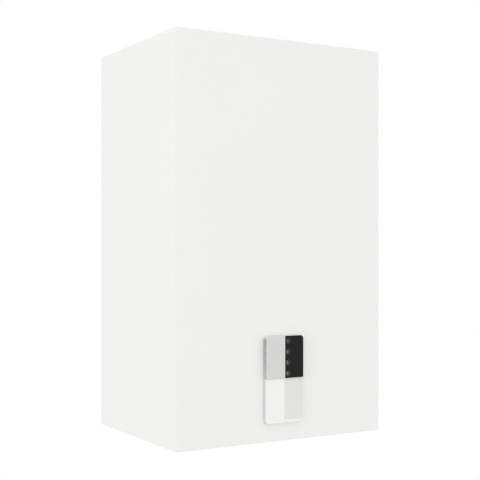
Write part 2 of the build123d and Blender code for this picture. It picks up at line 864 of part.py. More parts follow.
# ------------------------------------------------------------------ heat exchanger
def exchanger_body():
    """Round pressed shell with beads, front flange, flue spigot and three ports underneath."""
    depth = exchanger_rear - exchanger_front
    crest = exchanger_radius + exchanger_bead
    points = [
        (0, exchanger_rear),
        (exchanger_radius - 10, exchanger_rear),
        (exchanger_radius, exchanger_rear - 8),
    ]
    for n in (1, 2, 3):
        middle = exchanger_rear - depth * n / 4
        points += [
            (exchanger_radius, middle + depth / 9),
            (crest, middle + depth / 18),
            (crest, middle - depth / 18),
            (exchanger_radius, middle - depth / 9),
        ]
    points += [
        (exchanger_radius, exchanger_front),
        (flange_radius, exchanger_front),
        (flange_radius, flange_front),
        (0, flange_front),
    ]
    body = turned_about_y(points, exchanger_x, exchanger_z)
    body += post(flue_x, flue_y, exchanger_z, spigot_top, spigot_radius)
    for x, y in exchanger_ports.values():
        body += post(x, y, port_bottom, exchanger_z, port_radius)
    inside = exchanger_radius - exchanger_wall
    chamber = [
        (0, exchanger_rear - exchanger_wall),
        (inside - 10, exchanger_rear - exchanger_wall),
        (inside, exchanger_rear - exchanger_wall - 8),
        (inside, exchanger_front),
        (mouth_radius, exchanger_front),
        (mouth_radius, flange_front - 1),
        (0, flange_front - 1),
    ]
    body -= turned_about_y(chamber, exchanger_x, exchanger_z)
    for x, y in exchanger_ports.values():
        body -= post(x, y, port_bottom - 1, port_bottom + port_bore_depth, pipe_radius - pipe_wall)
    body -= post(flue_x, flue_y, exchanger_z, spigot_top + 1, flue_pipe_radius - flue_pipe_wall)
    body -= post(flue_x, flue_y, spigot_top - spigot_depth, spigot_top + 1, flue_pipe_radius + fitting_gap)
    return body


def exchanger_coil():
    """Turns of water tube round the burner, a narrow gas gap apart."""
    rear = exchanger_rear - exchanger_wall
    turns = int((rear - exchanger_front) / coil_pitch)
    thick = coil_pitch - coil_gap
    rings = [
        tube((exchanger_x, rear - n * coil_pitch, exchanger_z), (0, -1, 0), coil_outer, coil_inner, thick)
        for n in range(turns)
    ]
    return group(*rings)


def burner():
    """Thin cylindrical burner on the door's rear, closed at its far end."""
    length = burner_end - door_rear
    cup = rod((exchanger_x, door_rear, exchanger_z), (0, 1, 0), burner_radius, length)
    inner = burner_radius - burner_sheet
    return cup - rod((exchanger_x, door_rear - 1, exchanger_z), (0, 1, 0), inner, length + 1 - burner_sheet)


def door_gasket():
    """Graphite ring between exchanger flange and burner door."""
    start = (exchanger_x, flange_front, exchanger_z)
    return tube(start, (0, -1, 0), door_gasket_outer, door_gasket_inner, door_gasket_thickness)


def door_bolt_place(n):
    """X and Z of the n-th burner door stud."""
    turn = Rot(0, door_bolt_angle + 360 / door_bolts * n, 0) * Pos(door_bolt_circle, 0, 0)
    return exchanger_x + turn.position.X, exchanger_z + turn.position.Z


def burner_door():
    """Cast aluminium door with the air and gas duct that comes from the fan."""
    door = rod((exchanger_x, door_rear, exchanger_z), (0, -1, 0), door_radius, door_thickness)
    door = fillet(door.edges().group_by(Axis.Y)[0], 3)
    duct_front = fan_front + duct_inset
    boss_radius = duct_height / 2 + 14
    door += rod((exchanger_x, door_front, exchanger_z), (0, -1, 0), boss_radius, door_front - duct_front - 8)
    left = fan_x + outlet_reach
    low = exchanger_z - duct_height / 2
    duct = block(left, exchanger_x, duct_front, door_front + 2, low, low + duct_height)
    door += fillet(duct.edges().filter_by(Axis.X), 7)
    end = (exchanger_x, door_front, exchanger_z)
    door += rod(end, (0, -1, 0), duct_height / 2, door_front - duct_front)
    for n in range(door_bolts):
        rib = Rot(0, 360 / door_bolts * n, 0) * Pos(boss_radius + 14, 0, 0) * Box(36, 7, 4)
        door += Pos(exchanger_x, door_front - 3, exchanger_z) * rib
    half = outlet_height / 2 + outlet_flange
    flange = block(left, left + 5, fan_front - 3, fan_rear, exchanger_z - half, exchanger_z + half)
    door += fillet(flange.edges().filter_by(Axis.X), 5)
    for n in range(door_bolts):
        x, z = door_bolt_place(n)
        door -= rod((x, door_rear + 1, z), (0, -1, 0), 3.2, door_thickness + 2)
    return door


def electrodes():
    """Ignition pair and flame sensing rod, each a ceramic on a small plate."""
    pieces = []
    plate_front = door_front - electrode_plate_thickness
    tip = plate_front - ceramic_length
    for side, offsets in ((1, (-ceramic_pitch / 2, ceramic_pitch / 2)), (-1, (0,))):
        x = exchanger_x + electrode_x
        z = exchanger_z + side * electrode_z
        plate = rounded_plate(
            electrode_plate_length, electrode_plate_height, 6, door_front, electrode_plate_thickness, x, z
        )
        for offset in offsets:
            plate += rod((x + offset, plate_front, z), (0, -1, 0), ceramic_radius, ceramic_length)
            plate += rod((x + offset, tip, z), (0, -1, 0), electrode_tip_radius, electrode_tip_length)
        pieces.append(plate)
    return group(*pieces)


# ------------------------------------------------------------------ fan, mixer and silencer
def scroll(grow=0.0):
    """Fan housing outline: three quarter turns of growing radius, then a tangent outlet."""
    first, second, third = scroll_radii
    down = JernArc((first, 0), (0, -1), first, -90)
    left = JernArc(down @ 1, (-1, 0), second, -90)
    over = JernArc(left @ 1, (0, 1), third, -90)
    top = (over @ 1).Y
    low = top - outlet_height
    rest = Polyline(over @ 1, (outlet_reach, top), (outlet_reach, low), (first, low), (first, 0))
    outline = make_face([down, left, over, rest])
    return offset(outline, grow) if grow else outline


def fan_housing():
    """Cast scroll with the inlet behind, the motor seat in front, and a flanged outlet."""
    body = extrude(front_plane(fan_rear, fan_x, fan_z) * scroll(), fan_thickness)
    hollow_depth = fan_thickness - 2 * fan_wall
    hollow = extrude(front_plane(fan_rear - fan_wall, fan_x, fan_z) * scroll(-fan_wall), hollow_depth)
    right = fan_x + outlet_reach
    half = outlet_height / 2
    flange = block(
        right - 5, right, fan_front - 3, fan_rear, exchanger_z - half - outlet_flange,
        exchanger_z + half + outlet_flange,
    )
    body += fillet(flange.edges().filter_by(Axis.X), 5)
    body -= hollow
    body -= block(
        right - 8, right + 1, fan_front + fan_wall, fan_rear - fan_wall, exchanger_z - half + fan_wall,
        exchanger_z + half - fan_wall,
    )
    body -= rod((fan_x, fan_rear + 1, fan_z), (0, -1, 0), inlet_radius, fan_wall + 2)
    body -= rod((fan_x, fan_front + fan_wall + 1, fan_z), (0, -1, 0), 4 * shaft_radius, fan_wall + 2)
    return body


def fan_impeller():
    """Backward-curved wheel: disc, blades and shroud on its shaft."""
    disc_front = fan_front + fan_wall + impeller_gap
    disc = rod((fan_x, disc_front, fan_z), (0, 1, 0), impeller_radius, 2)
    wheel = disc + rod((fan_x, disc_front, fan_z), (0, 1, 0), 9, impeller_height - 8)
    curve = Pos(blade_radius + 9, 0) * (Circle(blade_radius) - Circle(blade_radius - blade_thickness))
    span = Circle(impeller_radius - 0.5) - Circle(blade_root)
    upper = Pos(0, impeller_radius) * Rectangle(4 * impeller_radius, 2 * impeller_radius)
    blade = curve & span & upper
    place = front_plane(disc_front + impeller_height, fan_x, fan_z)
    for n in range(blade_count):
        wheel += extrude(place * Rot(0, 0, 360 / blade_count * n) * blade, impeller_height - 1)
    shroud_start = (fan_x, disc_front + impeller_height - 1.6, fan_z)
    wheel += tube(shroud_start, (0, 1, 0), impeller_radius, inlet_radius, 1.6)
    shaft_length = disc_front - fan_front + shaft_reach
    return wheel + rod((fan_x, disc_front, fan_z), (0, -1, 0), shaft_radius, shaft_length)


def fan_motor():
    """Round motor with cooling ribs, driver cap and plug socket."""
    bore = shaft_radius + shaft_clearance
    end = fan_front - fan_motor_length
    points = [
        (bore, fan_front),
        (fan_motor_radius, fan_front),
        (fan_motor_radius, fan_front - 6),
        (fan_motor_radius - 6, fan_front - 8),
        (fan_motor_radius - 6, end + 8),
        (fan_motor_radius - 14, end),
        (0, end),
        (0, fan_front - motor_bore_depth),
        (bore, fan_front - motor_bore_depth),
    ]
    motor = turned_about_y(points, fan_x, fan_z)
    for n in range(fan_motor_ribs):
        rib = Rot(0, 360 / fan_motor_ribs * n, 0) * Pos(fan_motor_radius - 5, 0, 0) * Box(6, 20, 2)
        motor += Pos(fan_x, fan_front - 17, fan_z) * rib
    top = fan_z + fan_motor_radius + 9
    socket = block(fan_x - 11, fan_x + 11, fan_front - 24, fan_front - 8, top - 17, top)
    socket -= block(fan_x - 9, fan_x + 9, fan_front - 22, fan_front - 10, top - 9, top + 1)
    return motor + socket


def gas_air_mixer():
    """Venturi on the fan's inlet, with the gas port underneath."""
    throat = inlet_radius - 4
    outline = [
        (inlet_radius, fan_rear),
        (inlet_radius + 11, fan_rear),
        (inlet_radius + 11, fan_rear + 5),
        (inlet_radius + 3, fan_rear + 7),
        (throat, fan_rear + 22),
        (throat, mixer_rear - 22),
        (mixer_mouth_radius + 3, mixer_rear),
        (mixer_mouth_radius, mixer_rear),
        (throat - 4, mixer_rear - 24),
        (throat - 4, fan_rear + 20),
        (inlet_radius - 1, fan_rear + 6),
    ]
    body = turned_about_y(outline, fan_x, fan_z)
    body += tube((fan_x, gas_port_y + 10, fan_z), (0, -1, 0), inlet_radius + 4, throat - 1, 20)
    body += post(fan_x, gas_port_y, mixer_port_z, fan_z - inlet_radius - 1, 10)
    body -= post(fan_x, gas_port_y, mixer_port_z - 1, fan_z - throat + 5, gas_bore)
    return body


def intake_silencer():
    """Upright box behind the mixer, open at the top, which quietens the intake."""
    tall = silencer_below + silencer_above
    middle = fan_z + (silencer_above - silencer_below) / 2
    depth = silencer_rear - mixer_rear
    wide = 2 * silencer_half_width
    wall = silencer_wall
    body = rounded_plate(wide, tall, 10, silencer_rear, depth, fan_x, middle)
    body -= rounded_plate(
        wide - 2 * wall, tall - 2 * wall, 8, silencer_rear - wall, depth - 2 * wall, fan_x, middle
    )
    body -= rod((fan_x, mixer_rear - 1, fan_z), (0, 1, 0), mixer_mouth_radius, wall + 2)
    top = fan_z + silencer_above
    return body - block(
        fan_x - 24, fan_x + 24, mixer_rear + 6, silencer_rear - 6, top - wall - 1, top + 1
    )


# ------------------------------------------------------------------ gas
def gas_valve():
    """Die-cast valve body with its inlet on the right and its outlet on top."""
    front = gas_port_y - valve_half_y
    left = valve_x - valve_half_x
    right = valve_x + valve_half_x
    body = block(left, right, front, gas_port_y + valve_half_y, valve_bottom, valve_top - 12)
    body = fillet(body.edges().filter_by(Axis.Z), 8)
    body = fillet(body.edges().group_by(Axis.Z)[-1], 2)
    body += rod((right - 2, gas_port_y, gas_inlet_z), (1, 0, 0), 15, gas_inlet_reach + 2)
    body += post(fan_x, gas_port_y, valve_top - 14, valve_top, 14)
    body -= post(fan_x, gas_port_y, valve_top - 20, valve_top + 1, gas_bore)
    for rise in (14, 30):
        body += rod((valve_x - 18, front + 1, valve_bottom + rise), (0, -1, 0), 5, 6)
    for n in range(5):
        low = valve_bottom + 10 + 8 * n
        body -= block(left - 1, left + 2, gas_port_y - 26, gas_port_y + 26, low, low + 3)
    return body


def gas_coils():
    """Two solenoid coils on the valve's front."""
    front = gas_port_y - valve_half_y
    x = valve_x + 12
    pieces = []
    for rise in coil_heights:
        z = valve_bottom + rise
        coil = rod((x, front, z), (0, -1, 0), coil_radius, 20)
        coil += block(x - 8, x + 8, front - 16, front - 4, z - coil_radius, z + coil_radius)
        pieces.append(coil + rod((x, front - 20, z), (0, -1, 0), 3.5, 2.5))
    return group(*pieces)


def gas_pipes():
    """Copper pipe up from the gas connection, and the short pipe from valve to mixer."""
    x = connection_x[2]
    route = [
        (x, connection_y, block_bottom),
        (x, connection_y, block_bottom + 60),
        (x, gas_port_y, block_bottom + 120),
        (x, gas_port_y, gas_inlet_z),
        (gas_inlet_x, gas_port_y, gas_inlet_z),
    ]
    supply = bent_tube(route, 28, pipe_radius, pipe_radius - pipe_wall)
    rise = mixer_port_z - valve_top
    return group(supply, tube((fan_x, gas_port_y, valve_top), (0, 0, 1), gas_bore + 1.5, gas_bore, rise))


# ------------------------------------------------------------------ expansion vessel
def vessel_outline(inset):
    """Half section of the flat round vessel, drawn in by an inset."""
    rear = back_plate_front - inset
    front = vessel_front + inset
    side = vessel_radius - 3 - inset
    return [
        (0, rear),
        (vessel_radius - 34, rear),
        (side - 5, rear - 14),
        (side, vessel_seam + vessel_seam_half),
        (side, vessel_seam - vessel_seam_half),
        (side - 5, front + 14),
        (vessel_radius - 34, front),
        (0, front),
    ]


def expansion_vessel():
    """Flat round steel vessel with a rolled seam, flat against the back plate."""
    vessel = turned_about_y(vessel_outline(0.0), 0, exchanger_z)
    seam_rear = (0, vessel_seam + vessel_seam_half, exchanger_z)
    vessel += rod(seam_rear, (0, -1, 0), vessel_radius, 2 * vessel_seam_half)
    vessel += post(0, vessel_seam, vessel_port_z, vessel_port_z + 20, 10)
    x, dz = vessel_valve
    vessel += rod((x, vessel_front + 10, exchanger_z + dz), (0, -1, 0), 5, 22)
    return vessel - turned_about_y(vessel_outline(vessel_sheet), 0, exchanger_z)


def expansion_pipe():
    """Small pipe from the vessel down to the return block."""
    route = [
        (0, vessel_seam, vessel_port_z),
        (0, vessel_seam, vessel_port_z - 50),
        (expansion_x, expansion_y, pad_top + 50),
        (expansion_x, expansion_y, pad_top),
    ]
    return bent_tube(route, 30, expansion_pipe_radius, expansion_pipe_radius - pipe_wall)


# ------------------------------------------------------------------ connections and blocks
def connection(x, thread, neck):
    """Brass fitting: thread below, spanner hexagon, neck up through the bottom panel."""
    hex_bottom = thread_end + thread_length
    fitting = post(x, connection_y, thread_end, hex_bottom, thread)
    fitting += hex_rod((x, connection_y, hex_bottom), (0, 0, 1), 2 * thread + hex_margin, hex_height)
    fitting += post(x, connection_y, hex_bottom + hex_height, block_bottom, neck)
    return fitting - post(x, connection_y, thread_end - 1, block_bottom + 1, neck - fitting_wall)


def pipe_connections():
    """The five connections: heating flow, hot water, gas, cold water, heating return."""
    return group(*[connection(x, thread, neck) for x, (thread, neck) in fittings])


def rubber_grommets():
    """Rings round the five fittings, and two closed cable grommets."""
    low = frame_floor - grommet_lip_height
    high = floor_top + grommet_lip_height
    pieces = []
    for x, (_, neck) in fittings:
        bore = neck + fitting_gap
        wall = neck + grommet_wall
        points = [
            (bore, low),
            (wall + grommet_lip, low),
            (wall + grommet_lip, frame_floor),
            (wall, frame_floor),
            (wall, floor_top),
            (wall + grommet_lip, floor_top),
            (wall + grommet_lip, high),
            (bore, high),
        ]
        pieces.append(turned_about_z(points, x, connection_y))
    for x in gland_x:
        points = [
            (0, low - 2),
            (gland_radius - 3, low - 2),
            (gland_radius + grommet_lip, frame_floor),
            (gland_radius, frame_floor),
            (gland_radius, floor_top),
            (gland_radius + grommet_lip, floor_top),
            (gland_radius + 1, high),
            (0, high),
        ]
        pieces.append(turned_about_z(points, x, gland_y))
    return group(*pieces)


def manifold(side):
    """Shared shape of the flow and return blocks: two barrels, a bridge and a rear pad."""
    outer_x = side * connection_x[4]
    inner_x = side * connection_x[3]
    low, high = sorted((outer_x, inner_x))
    body = post(outer_x, connection_y, block_bottom, block_top, big_barrel)
    body += post(inner_x, connection_y, block_bottom, block_top, small_barrel)
    body += block(low, high, connection_y - 13, connection_y + 13, block_bottom + 14, block_top - 14)
    pad = block(
        low - pad_overhang, high + pad_overhang, connection_y, stack_front, block_bottom + pad_drop, pad_top
    )
    return body + fillet(pad.edges().filter_by(Axis.Y), 8)


def flow_block():
    """Left block: heating flow with the diverter barrel, and hot water out."""
    x = connection_x[0]
    body = manifold(-1)
    body += post(x, connection_y, block_top - 1, diverter_top, 18)
    body += post(flow_stub_x, flow_stub_y, block_top - 40, flow_stub_top, 13)
    body += rod((x, connection_y, plug_z), (0, -1, 0), 12, big_barrel + 8)
    body += hex_nut((x, connection_y - big_barrel - 8, plug_z), (0, -1, 0), 20, 6)
    return body - post(
        flow_stub_x, flow_stub_y, block_top - 10, flow_stub_top + 1, pipe_radius - pipe_wall
    )


def diverter_motor():
    """Actuator clipped on the diverter barrel."""
    x = connection_x[0]
    y = connection_y
    top = diverter_top + diverter_motor_height
    half = diverter_half_x
    body = block(x - half, x + half, y - diverter_front, y + diverter_rear, diverter_top, top)
    body = fillet(body.edges().filter_by(Axis.Z), 6)
    body = fillet(body.edges().group_by(Axis.Z)[-1], 2)
    body += post(x, y, top - 1, top + 6, 14)
    plug = diverter_plug_half
    return body + block(
        x - plug, x + plug, y - diverter_plug_reach, y - diverter_front + 1,
        diverter_top + 8, diverter_top + 24,
    )


def return_block():
    """Right block: heating return, cold water in, filling tap sleeve and relief boss."""
    body = manifold(1)
    boss_length = relief_boss_end - connection_x[4]
    body += rod((connection_x[4], connection_y, relief_z), (1, 0, 0), 12, boss_length)
    body += post(tap_x, connection_y, tap_sleeve_end, block_bottom + 20, tap_sleeve_radius)
    bore = tap_stem_radius + shaft_clearance
    body -= post(tap_x, connection_y, tap_sleeve_end - 1, tap_sleeve_end + tap_stem_length, bore)
    return body + rod((connection_x[3], connection_y, flow_sensor_z), (0, -1, 0), 13, small_barrel + 4)


def flow_sensor():
    """Turbine sensor cap on the cold water barrel, with its plug."""
    x = connection_x[3]
    z = flow_sensor_z
    body = rod((x, sensor_y, z), (0, -1, 0), 15, 14)
    body += rod((x, sensor_y - 14, z), (0, -1, 0), 11, 10)
    return body + block(x - 8, x + 8, sensor_y - 22, sensor_y - 4, z + 10, z + 24)


def filling_tap():
    """Knob and spindle of the filling tap, under the casing."""
    top = thread_end + tap_knob_height
    body = post(tap_x, connection_y, thread_end, top, tap_knob_radius)
    for n in range(8):
        spot = (Rot(0, 0, 45 * n) * Pos(tap_knob_radius + 1.5, 0, 0)).position
        body -= post(tap_x + spot.X, connection_y + spot.Y, thread_end - 1, top + 1, 3.2)
    body = fillet(body.edges().group_by(Axis.Z)[0], 0.8)
    return body + post(tap_x, connection_y, top - 1, top - 1 + tap_stem_length, tap_stem_radius)


def safety_valve():
    """Pressure relief valve on the return block, with its drain tube down through the floor."""
    start = (relief_boss_end, connection_y, relief_z)
    body = rod(start, (1, 0, 0), relief_body_radius, relief_length)
    body += hex_rod(start, (1, 0, 0), 2 * relief_body_radius + 1, 6)
    body += post(relief_x, connection_y, frame_floor, relief_z, relief_tube_radius)
    body += post(relief_x, connection_y, relief_end, frame_floor, relief_spigot_radius)
    body -= post(relief_x, connection_y, relief_end - 1, relief_z - 10, relief_spigot_radius - 2)
    bore = 3 + shaft_clearance
    return body - rod((relief_boss_end + 4, connection_y, relief_z), (1, 0, 0), bore, relief_length)


def relief_knob():
    """Red test knob of the relief valve."""
    start = relief_boss_end + relief_length + knob_gap
    knob = rod((start, connection_y, relief_z), (1, 0, 0), knob_radius, knob_length)
    for n in range(6):
        spot = (Rot(60 * n, 0, 0) * Pos(0, knob_radius + 1.5, 0)).position
        place = (start + 3, connection_y + spot.Y, relief_z + spot.Z)
        knob -= rod(place, (1, 0, 0), 3.5, knob_length)
    return knob + rod((start - 10, connection_y, relief_z), (1, 0, 0), 3, 11)


def plate_exchanger():
    """Brazed stack of pressed plates for the hot water, lying behind the two blocks."""
    stack = None
    for n in range(plate_count):
        lip = 0.0 if n % 2 else 2 * plate_lip
        y = stack_front + plate_pitch * (n + 1)
        plate = rounded_plate(
            plate_length - lip, plate_height - lip, plate_corner, y, plate_pitch, 0, block_middle
        )
        stack = plate if stack is None else stack + plate
    inside_y = stack_front + plate_pitch * (plate_count - 1)
    channel = rounded_plate(
        plate_length - 2 * stack_rim, plate_height - 2 * stack_rim, plate_corner - stack_rim, inside_y,
        plate_pitch * (plate_count - 2), 0, block_middle,
    )
    stack -= channel
    for x in (-connection_x[3], connection_x[3]):
        for dz in (-20, 20):
            stack -= rod((x, stack_front - 1, block_middle + dz), (0, 1, 0), 7, plate_pitch * 2)
    return stack


# ------------------------------------------------------------------ pump
def pump_housing():
    """Cast volute with its suction leg below and its outlet above."""
    points = [
        (0, pump_rear),
        (pump_radius - 12, pump_rear),
        (pump_radius, pump_rear - 10),
        (pump_radius, pump_front + 6),
        (pump_radius + 3, pump_front + 6),
        (pump_radius + 3, pump_front),
        (0, pump_front),
    ]
    body = turned_about_y(points, pump_x, pump_z)
    body += post(pump_x, pump_leg_y, block_top, pump_z, 18)
    body += post(pump_x, pump_leg_y, pump_z, pump_top, 14)
    return body - post(pump_x, pump_leg_y, pump_top - 10, pump_top + 1, pipe_radius - pipe_wall)


def pump_motor():
    """Pump motor with its ribbed head, vent screw and terminal box."""
    points = [
        (0, pump_front),
        (pump_radius - 3, pump_front),
        (pump_radius - 3, pump_front - 10),
        (pump_radius - 8, pump_front - 14),
        (pump_radius - 8, pump_motor_end + 10),
        (pump_radius - 16, pump_motor_end),
        (0, pump_motor_end),
    ]
    motor = turned_about_y(points, pump_x, pump_z)
    motor += rod((pump_x, pump_motor_end, pump_z), (0, -1, 0), 9, 4)
    fin_length = pump_front - pump_motor_end - fin_margin
    for n in range(pump_fins):
        fin = Rot(0, 360 / pump_fins * n, 0) * Pos(pump_radius - 7, 0, 0) * Box(6, fin_length, 2.2)
        motor += Pos(pump_x, (pump_front + pump_motor_end) / 2, pump_z) * fin
    lid = block(
        pump_x - terminal_half, pump_x + terminal_half, pump_motor_end + 8, pump_front - 18,
        pump_z + terminal_low, pump_z + terminal_high,
    )
    return motor + fillet(lid.edges().filter_by(Axis.Z), 4)


def air_vent():
    """Automatic air vent standing on the return block."""
    points = [
        (0, pad_top),
        (6, pad_top),
        (6, pad_top + 14),
        (13, pad_top + 20),
        (13, pad_top + 62),
        (9, pad_top + 68),
        (5, pad_top + 68),
        (5, pad_top + 76),
        (0, pad_top + 76),
    ]
    return turned_about_z(points, vent_x, vent_y)


def heating_pipes():
    """Copper pipes from the exchanger to the flow block and from the pump to the exchanger."""
    x, y = exchanger_ports["flow"]
    route = [
        (x, y, port_bottom),
        (x, y, port_bottom - flow_drop),
        (flow_stub_x, flow_stub_y, flow_stub_top + flow_straight),
        (flow_stub_x, flow_stub_y, flow_stub_top),
    ]
    flow = bent_tube(route, 28, pipe_radius, pipe_radius - pipe_wall)
    start = (pump_x, pump_leg_y, pump_top)
    rise = port_bottom - pump_top
    return group(flow, tube(start, (0, 0, 1), pipe_radius, pipe_radius - pipe_wall, rise))


def union_nuts():
    """Hexagon nuts where the copper pipes meet ports, stubs and the gas valve."""
    bore = pipe_radius + fitting_gap
    ends = [
        (*exchanger_ports["flow"], port_bottom - nut_height),
        (*exchanger_ports["return"], port_bottom - nut_height),
        (flow_stub_x, flow_stub_y, flow_stub_top),
        (pump_x, pump_leg_y, pump_top),
        (connection_x[2], connection_y, block_bottom),
    ]
    nuts = []
    for x, y, z in ends:
        nut = hex_nut((x, y, z), (0, 0, 1), nut_across_flats, nut_height)
        nuts.append(nut - post(x, y, z - 1, z + nut_height + 1, bore))
    start = (gas_inlet_x, gas_port_y, gas_inlet_z)
    nut = hex_nut(start, (1, 0, 0), nut_across_flats, nut_height)
    nuts.append(nut - rod(start, (1, 0, 0), bore, nut_height + 1))
    return group(*nuts)


# ------------------------------------------------------------------ condensate
def condensate_trap():
    """Siphon cup with a ribbed cap and its outlet down through the floor."""
    points = [
        (0, floor_top),
        (trap_radius - 4, floor_top),
        (trap_radius, floor_top + 8),
        (trap_radius, trap_top - 34),
        (trap_radius + 3, trap_top - 34),
        (trap_radius + 3, trap_top - 14),
        (trap_radius - 6, trap_top - 12),
        (trap_neck, trap_top - 10),
        (trap_neck, trap_top),
        (0, trap_top),
    ]
    body = turned_about_z(points, trap_x, trap_y)
    body += post(trap_x, trap_y, trap_end, floor_top, trap_outlet_radius)
    for n in range(12):
        spot = (Rot(0, 0, 30 * n) * Pos(trap_radius + 3, 0, 0)).position
        body += post(trap_x + spot.X, trap_y + spot.Y, trap_top - 33, trap_top - 15, 1.4)
    body -= post(trap_x, trap_y, trap_end - 1, floor_top + 40, trap_outlet_radius - hose_wall)
    return body - post(trap_x, trap_y, trap_top - 20, trap_top + 1, pipe_radius - hose_wall)


def condensate_hose():
    """Drain hose from the exchanger to the siphon."""
    x, y = exchanger_ports["drain"]
    route = [
        (x, y, port_bottom),
        (x, y, hose_level + hose_fall),
        (trap_x, y, hose_level),
        (trap_x, trap_y, hose_level),
        (trap_x, trap_y, trap_top),
    ]
    return bent_tube(route, 30, pipe_radius, pipe_radius - hose_wall)


# ------------------------------------------------------------------ pressure gauge
def gauge_case():
    """Gauge case clipped into the bottom panel, its dial facing down, with the capillary boss."""
    rim = gauge_radius + gauge_rim
    points = [
        (0, gauge_rear),
        (gauge_radius / 2, gauge_rear),
        (gauge_radius, gauge_shoulder),
        (gauge_radius, frame_floor),
        (rim, frame_floor),
        (rim, gauge_floor + 1),
        (rim - 1, gauge_floor),
        (gauge_window_radius + 1, gauge_floor),
        (gauge_window_radius, gauge_floor + 1),
        (gauge_window_radius, gauge_dial_z),
        (0, gauge_dial_z),
    ]
    case = turned_about_z(points, gauge_x, gauge_y)
    case += post(gauge_x, gauge_y, gauge_rear - 1, capillary_end, 4)
    bore = needle_arbor_radius + shaft_clearance
    return case - post(gauge_x, gauge_y, gauge_dial_z - 1, gauge_dial_z + 7, bore)


def gauge_glass():
    """Clear disc over the dial."""
    low = gauge_floor + 1.2
    return post(gauge_x, gauge_y, low, low + gauge_glass_thickness, gauge_window_radius)


def gauge_needle():
    """Pointer on its arbor."""
    low = gauge_dial_z - 2.2
    needle = post(gauge_x, gauge_y, low, low + 1.4, 2.4)
    blade = make_face(Polyline((-1.1, 0), (1.1, 0), (0.3, needle_length), (-0.3, needle_length), close=True))
    tail = make_face(Polyline((-1.1, 0), (1.1, 0), (1.5, -6), (-1.5, -6), close=True))
    flat = Plane.XY.offset(low) * Pos(gauge_x, gauge_y) * Rot(0, 0, needle_rest_angle)
    needle += extrude(flat * (blade + tail), 0.6)
    return needle + post(gauge_x, gauge_y, low, low + 6, needle_arbor_radius)


# ------------------------------------------------------------------ control box
def box_half(y, depth, floor):
    """Open rounded half of the electronics housing, its floor at one end."""
    shell = rounded_plate(2 * box_half_width, box_height, box_corner, y, depth, 0, box_middle)
    inner_wide = 2 * (box_half_width - box_wall)
    inner_tall = box_height - 2 * box_wall
    start = y + 1 if floor == "front" else y - box_wall
    reach = depth + 1 - (box_wall if floor == "front" else 0)
    return shell - rounded_plate(inner_wide, inner_tall, box_corner - box_wall, start, reach, 0, box_middle)


def control_box_tray():
    """Rear half of the electronics housing, with cooling slots in its roof and board posts."""
    body = box_half(box_rear, tray_depth, "rear")
    for n in range(vent_slot_count):
        x = (n - (vent_slot_count - 1) / 2) * vent_slot_pitch
        left = x - vent_slot_width / 2
        body -= block(
            left, left + vent_slot_width, box_split + 10, box_rear - 12, box_top - box_wall - 1, box_top + 1
        )
    for x in (-box_half_width + post_inset, box_half_width - post_inset):
        for z in (box_bottom + post_inset, box_top - post_inset):
            body += rod((x, box_rear - 1, z), (0, -1, 0), post_radius, box_rear - 1 - board_back)
    return body


def control_box_lid():
    """Front half of the electronics housing, with the key and display openings."""
    body = box_half(box_split, lid_depth, "front")
    for z in key_heights:
        body -= rod((key_x, box_front - 1, z), (0, 1, 0), key_stem_radius + key_gap, box_wall + 2)
    return body - display_window(box_front - 1, box_front + box_wall + 1, window_margin)


def display_window(front, rear, margin):
    """The display half of the upper block, drawn in by a margin."""
    left = fascia_x - fascia_width / 2 + margin
    return block(left, fascia_x - margin, front, rear, fascia_split + margin, fascia_top - margin)


def circuit_board():
    """Main board with the display module and switches in front, relays and transformer behind."""
    half = box_half_width - board_margin
    board = block(
        -half, half, board_front, board_back, box_bottom + board_margin, box_top - board_margin
    )
    board += display_window(box_front - display_reach, board_front, window_margin + 1)
    switch_front = key_rear + key_travel + 0.15
    for z in key_heights:
        board += block(key_x - 3, key_x + 3, switch_front, board_front, z - 3, z + 3)
    for left, low, wide, deep, tall in board_parts:
        board += block(left, left + wide, board_back, board_back + deep, low, low + tall)
    return board


# ------------------------------------------------------------------ fascia
def upper_outline():
    """Upper block's front outline: rounded corners at the top, square at the split."""
    low = fascia_split + part_line / 2
    plate = Pos(fascia_x, (fascia_top + low) / 2) * Rectangle(fascia_width, fascia_top - low)
    return fillet(plate.vertices().group_by(Axis.Y)[-1], fascia_corner)


def upper_bezel():
    """Grey carrier of the display lens and the keypad plate, standing through the cover."""
    bezel = extrude(front_plane(box_front) * upper_outline(), box_front - upper_seat)
    pocket_end = key_face + key_cap_height + key_travel + key_play
    for z in key_heights:
        bezel -= rod((key_x, pocket_end, z), (0, -1, 0), key_radius + key_gap, pocket_end - upper_seat + 1)
        bezel -= rod((key_x, box_front + 1, z), (0, -1, 0), key_stem_radius + key_gap, 30)
    return bezel - display_window(upper_seat - 1, box_front + 1, window_margin)


def face_half(side):
    """Left or right half of the upper block's front outline, less half a part line."""
    wide = fascia_width / 2 - part_line / 2
    x = fascia_x + side * (part_line / 2 + wide / 2)
    return upper_outline() & (Pos(x, keypad_middle) * Rectangle(wide, fascia_top - fascia_split + 10))


def face_plate(side):
    """Thin plate on one half of the upper block, with softened front edges."""
    plate = extrude(front_plane(upper_seat) * face_half(side), lens_thickness)
    return fillet(plate.faces().sort_by(Axis.Y)[0].edges(), 0.4)


def display_lens():
    """Grey acrylic lens over the display."""
    return face_plate(-1)


def keypad_plate():
    """Black gloss plate with the round key openings."""
    plate = face_plate(1)
    for z in key_heights:
        plate -= rod((key_x, upper_face - 1, z), (0, 1, 0), key_radius + key_gap, lens_thickness + 2)
    return plate


def key(n):
    """Round push key: softened cap and stem back to its switch."""
    z = key_heights[n]
    cap_rear = key_face + key_cap_height
    cap = rod((key_x, cap_rear, z), (0, -1, 0), key_radius, key_cap_height)
    cap = fillet(cap.edges().group_by(Axis.Y)[0], 1.0)
    return cap + rod((key_x, cap_rear, z), (0, 1, 0), key_stem_radius, key_rear - cap_rear)


